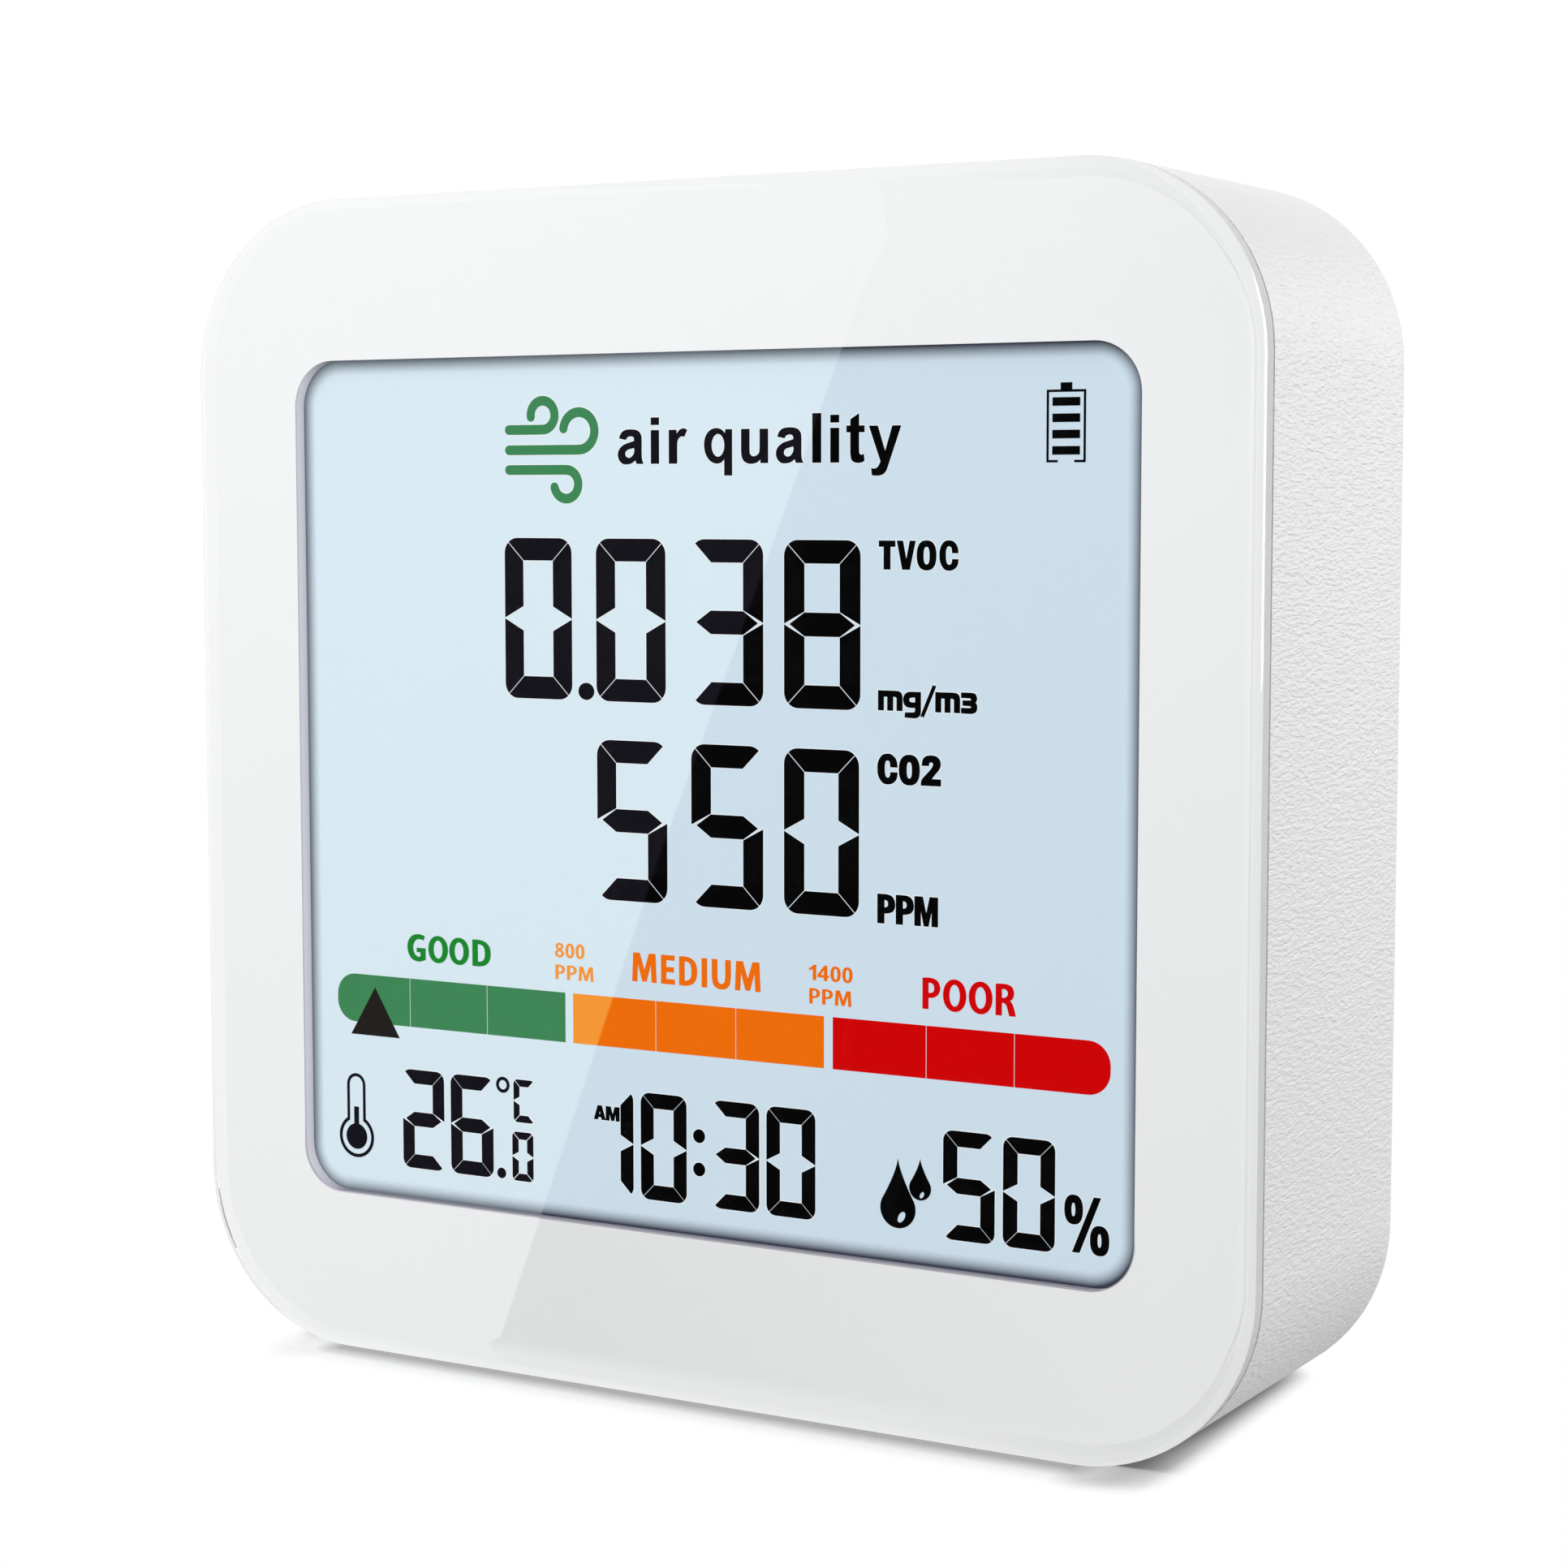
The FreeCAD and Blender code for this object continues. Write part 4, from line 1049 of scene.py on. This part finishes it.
CAPS = {   # semi-condensed bold capitals and figures
    "height": 100,
    "G": (66, [[
        [(66, 49, 1), (66, 6, 1), (52, 0), (38, -2), (18, 5), (5, 24), (0, 50), (4, 76),
         (18, 96), (40, 103), (63, 98, 1), (59, 83, 1), (43, 87), (27, 78), (19, 52),
         (25, 25), (38, 14), (49, 16, 1), (49, 35, 1), (35, 35, 1), (35, 49, 1)]]]),
    "O": (72, [[oval(36, 50, 36, 52, 2.1), oval(36, 50, 18, 37, 2.1)]]),
    "D": (66, [[
        [(0, 0, 1), (26, 0), (48, 7), (62, 25), (66, 50), (62, 76), (48, 93), (26, 100),
         (0, 100, 1)],
        [(18, 15, 1), (30, 16), (43, 26), (47, 50), (43, 75), (30, 85), (18, 86, 1)]]]),
    "M": (88, [[
        [(0, 0, 1), (16, 0, 1), (19, 70, 1), (37, 2, 1), (51, 2, 1), (69, 70, 1),
         (72, 0, 1), (88, 0, 1), (84, 100, 1), (62, 100, 1), (44, 36, 1), (26, 100, 1),
         (4, 100, 1)]]]),
    "E": (52, [[
        [(0, 0, 1), (52, 0, 1), (52, 15, 1), (18, 15, 1), (18, 43, 1), (48, 43, 1),
         (48, 58, 1), (18, 58, 1), (18, 85, 1), (51, 85, 1), (51, 100, 1), (0, 100, 1)]]]),
    "I": (18, [[box(0, 18, 0, 100)]]),
    "U": (68, [[
        [(0, 100, 1), (18, 100, 1), (18, 40, 1), (22, 21), (34, 14), (46, 21), (50, 40, 1),
         (50, 100, 1), (68, 100, 1), (68, 40, 1), (63, 14), (50, 1), (34, -2), (18, 1),
         (5, 14), (0, 40, 1)]]]),
    "P": (58, [[
        [(0, 0, 1), (18, 0, 1), (18, 37, 1), (36, 39), (51, 49), (58, 67), (54, 86),
         (42, 97), (24, 101), (0, 100, 1)],
        [(18, 51, 1), (30, 52), (39, 60), (39, 77), (30, 86), (18, 87, 1)]]]),
    "R": (63, [[
        [(0, 0, 1), (18, 0, 1), (18, 41, 1), (27, 41), (35, 34), (40, 18), (45, 0, 1),
         (64, 0, 1), (58, 24), (51, 41), (44, 47, 1), (54, 57), (58, 73), (53, 91),
         (40, 99), (24, 101), (0, 100, 1)],
        [(18, 55, 1), (28, 56), (38, 63), (40, 75), (33, 85), (18, 87, 1)]]]),
    "8": (56, [[
        [(28, 102), (12, 96), (4, 78), (9, 62), (17, 53, 1), (5, 43), (0, 26), (7, 7),
         (28, -2), (49, 7), (56, 26), (51, 43), (39, 53, 1), (47, 62), (52, 78), (44, 96)],
        oval(28, 76, 10, 11, 2.0, 16), oval(28, 28, 12, 14, 2.0, 16)]]),
    "0": (54, [[oval(27, 50, 27, 52, 2.3), oval(27, 50, 10, 36, 2.3)]]),
    "1": (36, [[
        [(20, 0, 1), (38, 0, 1), (38, 102, 1), (24, 102, 1), (14, 88), (0, 79, 1),
         (0, 62, 1), (20, 72, 1)]]]),
    "4": (60, [[
        [(34, 0, 1), (52, 0, 1), (52, 21, 1), (61, 21, 1), (61, 38, 1), (52, 38, 1),
         (52, 102, 1), (37, 102, 1), (0, 38, 1), (0, 21, 1), (34, 21, 1)],
        [(16, 38, 1), (34, 38, 1), (34, 72, 1)]]]),
}
SMOOTH_STEPS = 4
SMOOTH_BELOW = 14       # drawn loops shorter than this are smoothed even without corners


def smooth(points):
    """Hermite curve through the points, broken at the corners."""
    count = len(points)
    result = []
    for i in range(count):
        start, end = points[i], points[(i + 1) % count]
        result.append((start[0], start[1]))
        corner_start, corner_end = len(start) > 2, len(end) > 2
        if corner_start and corner_end:
            continue
        before, after = points[i - 1], points[(i + 2) % count]
        for k in range(1, SMOOTH_STEPS):
            t = k / SMOOTH_STEPS
            point = []
            for axis in (0, 1):
                p, q = start[axis], end[axis]
                leave = q - p if corner_start else (q - before[axis]) / 2
                arrive = q - p if corner_end else (after[axis] - p) / 2
                point.append((2 * t ** 3 - 3 * t ** 2 + 1) * p
                             + (t ** 3 - 2 * t ** 2 + t) * leave
                             + (-2 * t ** 3 + 3 * t ** 2) * q
                             + (t ** 3 - t ** 2) * arrive)
            result.append(tuple(point))
    return result


def spread(glyphs, word, left, right, gap):
    """Letters laid out between two positions with an even gap in glyph units."""
    total = sum(glyphs[c][0] for c in word) + gap * (len(word) - 1)
    scale = (right - left) / total
    letters, x = [], left
    for c in word:
        width = glyphs[c][0] * scale
        letters.append((c, x, x + width))
        x += width + gap * scale
    return letters


def lettering(name, glyphs, letters, base, height, mat, rim, fat):
    """Make one label; return the meshes of its pale edge, if it has one."""
    scale_z = height / glyphs["height"]
    parts, edges = [], []
    for char, left, right in letters:
        width, shapes = glyphs[char]
        scale_x = (right - left) / width
        for shape in shapes:
            loops = []
            for loop in shape:
                if any(len(p) > 2 for p in loop) or len(loop) < SMOOTH_BELOW:
                    loop = smooth(loop)
                loops.append([(left + p[0] * scale_x, base + p[1] * scale_z) for p in loop])
            parts.append(flat(name, loops, grow=fat))
            if rim:
                edges.append(flat(name, loops, HALO_FRONT - 0.0004, HALO_THICK, rim + fat))
    joined(name, parts, mat)
    return edges


# name, glyph set, letters as (character, left, right), base line, letter height, ink,
# reach of the pale edge, thickening
LABELS = [
    ("heading", LOWER,
     [("a", -6.46, -4.30), ("i", -3.69, -3.01), ("r", -2.20, -0.68), ("q", 0.70, 2.97),
      ("u", 3.70, 5.86), ("a", 6.48, 8.66), ("l", 9.36, 10.06), ("i", 10.77, 11.46),
      ("t", 12.02, 13.46), ("y", 13.76, 16.24)], 23.46, 2.36, black, 0.065, 0.0),
    ("unit_voc", HEAVY,
     [("T", 14.54, 15.81), ("V", 15.92, 17.36), ("O", 17.44, 18.93), ("C", 19.16, 20.6)],
     16.24, 1.96, black, 0.065, 0.0),
    ("unit_co", HEAVY, spread(HEAVY, "CO2", 14.5, 19.3, 16),
     1.72, 1.96, black, 0.065, 0.035),
    ("unit_ppm", HEAVY, spread(HEAVY, "PPM", 14.52, 19.12, 13),
     -7.86, 1.96, black, 0.065, 0.035),
    ("unit_mg", SQUARE,
     [("m", 14.54, 16.36), ("g", 16.47, 17.76), ("/", 17.85, 18.86), ("m", 18.92, 20.72),
      ("3", 20.86, 22.01)], 6.72, 1.28, black, 0.065, 0.035),
    ("label_am", HEAVY, spread(HEAVY, "AM", -8.78, -6.62, 10),
     -23.70, 1.0, black, 0.05, 0.025),
    ("label_good", CAPS,
     [("G", -25.35, -23.74), ("O", -23.43, -21.70), ("O", -21.52, -19.79),
      ("D", -19.42, -17.84)], -13.27, 1.90, green_text, 0.0, 0.03),
    ("label_medium", CAPS,
     [("M", -5.42, -3.42), ("E", -2.98, -1.88), ("D", -1.46, -0.02), ("I", 0.41, 0.80),
      ("U", 1.25, 2.76), ("M", 3.16, 5.18)], -13.36, 2.02, orange, 0.0, 0.03),
    ("label_poor", CAPS,
     [("P", 18.02, 19.31), ("O", 19.59, 21.29), ("O", 21.54, 23.26), ("R", 23.56, 24.98)],
     -13.50, 2.08, red, 0.0, 0.03),
    ("limit_a", CAPS, spread(CAPS, "800", -12.11, -9.55, 9), -12.11, 1.03, orange, 0.0, 0.0),
    ("limit_a_unit", CAPS, spread(CAPS, "PPM", -12.08, -8.78, 12),
     -13.72, 1.05, orange, 0.0, 0.0),
    ("limit_b", CAPS, spread(CAPS, "1400", 9.12, 12.56, 9), -12.20, 1.05, orange, 0.0, 0.0),
    ("limit_b_unit", CAPS, spread(CAPS, "PPM", 9.14, 12.46, 12),
     -13.86, 1.07, orange, 0.0, 0.0),
]
edges = []
for name, glyphs, letters, base, height, mat, rim, fat in LABELS:
    edges += lettering(name, glyphs, letters, up(base), height, mat, rim, fat)


def oval_between(x0, x1, z0, z1):
    return oval((x0 + x1) / 2, (z0 + z1) / 2, (x1 - x0) / 2, (z1 - z0) / 2, power=2.4)


# percent sign: upper ring, lower ring, slanted bar
percent = [
    [oval_between(28.75, 30.05, up(-27.12), up(-25.16)),
     oval_between(29.21, 29.55, up(-26.63), up(-25.66))],
    [oval_between(30.64, 31.98, up(-29.06), up(-27.08)),
     oval_between(31.13, 31.47, up(-28.55), up(-27.57))],
    [[(29.34, up(-29.0)), (29.83, up(-29.0)), (31.35, up(-25.2)), (30.88, up(-25.2))]],
]
joined("sign_percent", [flat("pct", shape, grow=0.03) for shape in percent], black)
edges += [flat("pct", shape, HALO_FRONT, HALO_THICK, grow=0.09) for shape in percent]
joined("lettering_edge", edges, halo)

# ---------------------------------------------------------------------------
# scale bar: three coloured blocks in thirds, outer ends rounded, and its pointer
# ---------------------------------------------------------------------------
SCALE_TOP, SCALE_BOTTOM, SCALE_CORNER = up(-14.68), up(-18.32), 1.62
SCALE_GAP = 0.026             # half the gap between thirds
# name, ink, the edges of its thirds
SCALE = [
    ("scale_good", green, (-31.95, -25.2, -18.17, -11.24)),
    ("scale_medium", orange, (-10.56, -3.48, 3.18, 10.3)),
    ("scale_poor", red, (11.0, 18.28, 24.94, 32.0)),
]


def block(x0, x1, round_left, round_right):
    low, high = SCALE_BOTTOM + SCALE_CORNER, SCALE_TOP - SCALE_CORNER
    left = [(x0, SCALE_BOTTOM), (x0, SCALE_TOP)]
    right = [(x1, SCALE_TOP), (x1, SCALE_BOTTOM)]
    if round_left:
        cx = x0 + SCALE_CORNER
        left = (arc(cx, low, SCALE_CORNER, 270, 180, 8)
                + arc(cx, high, SCALE_CORNER, 180, 90, 8))
    if round_right:
        cx = x1 - SCALE_CORNER
        right = (arc(cx, high, SCALE_CORNER, 90, 0, 8)
                 + arc(cx, low, SCALE_CORNER, 0, -90, 8))
    return left + right


for name, mat, stops in SCALE:
    thirds = []
    for i in range(3):
        outline = block(stops[i] + (SCALE_GAP if i else 0),
                        stops[i + 1] - (SCALE_GAP if i < 2 else 0),
                        round_left=name == "scale_good" and i == 0,
                        round_right=name == "scale_poor" and i == 2)
        thirds.append(flat(name + str(i), [outline], DISPLAY_DEPTH - 0.014, 0.010))
    joined(name, thirds, mat)

pointer_ink = ink("pointer_ink", srgb(32, 28, 26), sheen_share=0.004)
triangle = [(-30.72, up(-19.28)), (-28.44, up(-15.6)), (-26.2, up(-19.28))]
joined("pointer", [flat("pointer", [triangle])], pointer_ink)

# ---------------------------------------------------------------------------
# rear markings on the keys and beside the switch and socket
# ---------------------------------------------------------------------------
MARK_SINK, MARK_THICK = 0.02, 0.035
KEY_BACK, CASE_BACK = 27.85, 27.985       # depths of the marked faces
KEY_X, KEY_UP_Z, KEY_DOWN_Z, KEY_SET_Z = -29.0, 32.0, 20.0, 44.0
ARM, ARM_HALF = 0.9, 0.18                 # half length and half width of plus and minus
mark = materials["mark"]


def rear_sign(name, loops, back, body):
    joined(name, [flat(name + str(i), [loop], back - MARK_SINK, MARK_THICK)
                  for i, loop in enumerate(loops)], mark, body)


# plus sign, anticlockwise in x and z from its left arm, as offsets from the key
PLUS = [(-ARM, -ARM_HALF), (-ARM_HALF, -ARM_HALF), (-ARM_HALF, -ARM), (ARM_HALF, -ARM),
        (ARM_HALF, -ARM_HALF), (ARM, -ARM_HALF), (ARM, ARM_HALF), (ARM_HALF, ARM_HALF),
        (ARM_HALF, ARM), (-ARM_HALF, ARM), (-ARM_HALF, ARM_HALF), (-ARM, ARM_HALF)]
rear_sign("sign_up", [[(KEY_X + x, KEY_UP_Z + z) for x, z in PLUS]], KEY_BACK, "key_up")
rear_sign("sign_down", [rect(KEY_X - ARM, KEY_X + ARM, KEY_DOWN_Z - ARM_HALF,
                             KEY_DOWN_Z + ARM_HALF)], KEY_BACK, "key_down")
rear_sign("sign_set", [rect(KEY_X - ARM, KEY_X + ARM, KEY_SET_Z + offset - 0.13,
                            KEY_SET_Z + offset + 0.13) for offset in (-0.6, 0.0, 0.6)],
          KEY_BACK, "key_set")
rear_sign("sign_on", [rect(31.6, 31.9, 41.3, 42.9)], CASE_BACK, "case")
joined("sign_off", [flat("sign_off", washer(31.75, 37.9, outer=0.75, inner=0.48, steps=24),
                         CASE_BACK - MARK_SINK, MARK_THICK)], mark)
rear_sign("sign_socket", [rect(28.86, 29.14, 24.1, 26.4), disc(29.0, 26.6, 0.36, 16)],
          CASE_BACK, "case")


# ---------------------------------------------------------------------------
# floor
# ---------------------------------------------------------------------------
def floor_material():
    """Pale floor that melts into the white backdrop away from the object; near the footprint
    its colour is darkened as painted shadow.
    """
    tree = material("pale_floor")
    tone = tree.noise(3.0)
    x, y, _ = tree.split(tree.coords())
    # distance from the footprint, stretched in depth on the right
    dx = tree.positive(tree.sub(tree.abs(x), 0.0305))
    dy = tree.positive(tree.sub(tree.abs(y), -FACE_Y * MM))
    right = tree.ramp(x, (0.0300, 0.0360))
    dy = tree.mul(dy, tree.add(1.0, tree.mul(right, 0.3)))
    distance = tree.length(dx, dy)
    # painted shadow: on the right it is deeper at the front and gives out towards the back
    back = tree.positive(tree.add(y, 0.011))
    distance = tree.add(distance, tree.mul(tree.mul(back, 0.045), right))
    deep = tree.mul(tree.ramp(distance, (0.001, 0.008), to=(0.85, 0.0)), right)
    # painted shadow along the front: a narrow band under the edge
    front = tree.mul(tree.sub(1.0, right), tree.ramp(y, (0.0, -0.008)))
    deep = tree.add(deep, tree.mul(tree.ramp(distance, (0.0, 0.0019), to=(0.5, 0.0)), front))
    narrowing = tree.mul(front, tree.ramp(x, (-0.0335, -0.0305), to=(0.0008, 0.0027)))
    distance = tree.add(distance, tree.sub(narrowing, tree.mul(right, 0.0006)))
    pale = tree.mix(tone, (0.675, 0.675, 0.677, 1), (0.685, 0.685, 0.686, 1))
    surface = tree.node("BsdfDiffuse", {"Color": tree.mix(deep, pale, (0.02, 0.02, 0.02, 1))})
    lift = tree.node("Emission", {"Color": WHITE, "Strength": FLOOR_LIFT})
    lifted = tree.node("AddShader", {0: surface.outputs[0], 1: lift.outputs[0]}).outputs[0]
    backdrop = tree.node("Emission", {"Color": WHITE}).outputs[0]
    fade = tree.ramp(distance, (0.0039, 0.0069), curve="SMOOTHSTEP")
    camera_fade = tree.mul(fade, tree.node("LightPath").outputs["Is Camera Ray"])
    return tree.finish(tree.mix_shader(camera_fade, lifted, backdrop))


FLOOR_LIFT = 0.0              # glow added to the floor around the object
FLOOR_HALF = 8                # metres
floor_mesh = bpy.data.meshes.new("floor")
floor_mesh.from_pydata([(x, y, 0) for x, y in rect(-FLOOR_HALF, FLOOR_HALF,
                                                   -FLOOR_HALF, FLOOR_HALF)],
                       [], [(0, 1, 2, 3)])
floor = bpy.data.objects.new("floor", floor_mesh)
scene.collection.objects.link(floor)
floor_mesh.materials.append(floor_material())
floor.location.z = -0.00002
floor.visible_glossy = False
floor.visible_diffuse = False
floor.visible_transmission = False


# ---------------------------------------------------------------------------
# world
# ---------------------------------------------------------------------------
def build_world():
    world = bpy.data.worlds.new("studio")
    scene.world = world
    tree = Nodes(world, "OutputWorld")
    direction = tree.node("TexCoord").outputs["Generated"]
    x, _, z = tree.split(direction)

    def background(strength):
        return tree.node("Background", {0: WHITE, 1: strength}).outputs[0]

    seen = background(1.05)
    # daylight: bright from above, weak from below
    daylight = background(tree.ramp(z, (-0.45, 0.55), to=(0.32, 0.68)))
    # what polished faces mirror: white all round, with a dark panel where the
    # flat plate mirrors the camera's view, so the display stays readable
    aim = tree.node("VectorMath", {0: direction, 1: (forward.x, -forward.y, forward.z)},
                    operation="DOT_PRODUCT").outputs["Value"]
    panel = tree.ramp(aim, (math.cos(math.radians(17)), math.cos(math.radians(25))),
                      to=(0.02, 0.75), curve="SMOOTHSTEP")
    mirrored = background(tree.mul(panel, tree.ramp(x, (0.2, -0.5), to=(0.85, 1.4))))
    rays = tree.node("LightPath").outputs
    shiny = tree.math("MAXIMUM", rays["Is Glossy Ray"], rays["Is Transmission Ray"])
    unseen = tree.mix_shader(shiny, daylight, mirrored)
    tree.finish(tree.mix_shader(rays["Is Camera Ray"], unseen, seen))


build_world()


# ---------------------------------------------------------------------------
# lights, linked to the object or to the floor
# ---------------------------------------------------------------------------
def area_light(name, location, target, size, power, receivers, glossy=False):
    """Square area light; location, target and size in metres."""
    data = bpy.data.lights.new(name, "AREA")
    data.shape = "RECTANGLE"
    data.size = data.size_y = size
    data.energy = power
    light = bpy.data.objects.new(name, data)
    scene.collection.objects.link(light)
    light.location = location
    light.rotation_mode = "QUATERNION"
    aim = Vector(target) - Vector(location)
    light.rotation_quaternion = aim.to_track_quat("-Z", "Y")
    light.visible_glossy = glossy
    light.light_linking.receiver_collection = receivers


lit_object = bpy.data.collections.new("lit_object")
for ob in scene.objects:
    if ob.type == "MESH" and ob is not floor:
        lit_object.objects.link(ob)
lit_floor = bpy.data.collections.new("lit_floor")
lit_floor.objects.link(floor)

area_light("key_right_rear", location=(0.26, 0.24, 0.13), target=(0, 0, 0.04),
           size=0.20, power=0.60, receivers=lit_object, glossy=True)
area_light("fill_front_left", location=(-0.15, -0.34, 0.27), target=(0, 0, 0.05),
           size=0.25, power=1.38, receivers=lit_object)
area_light("floor_overhead", location=(-0.42, -0.22, 1.15), target=(0, 0, 0),
           size=0.8, power=12.0, receivers=lit_floor)

scene.view_settings.view_transform = "Standard"
scene.view_settings.look = "None"
scene.cycles.use_denoising = True
scene.cycles.sample_clamp_indirect = 1.5
scene.cycles.max_bounces = 10
scene.cycles.transmission_bounces = 8
scene.cycles.transparent_max_bounces = 12
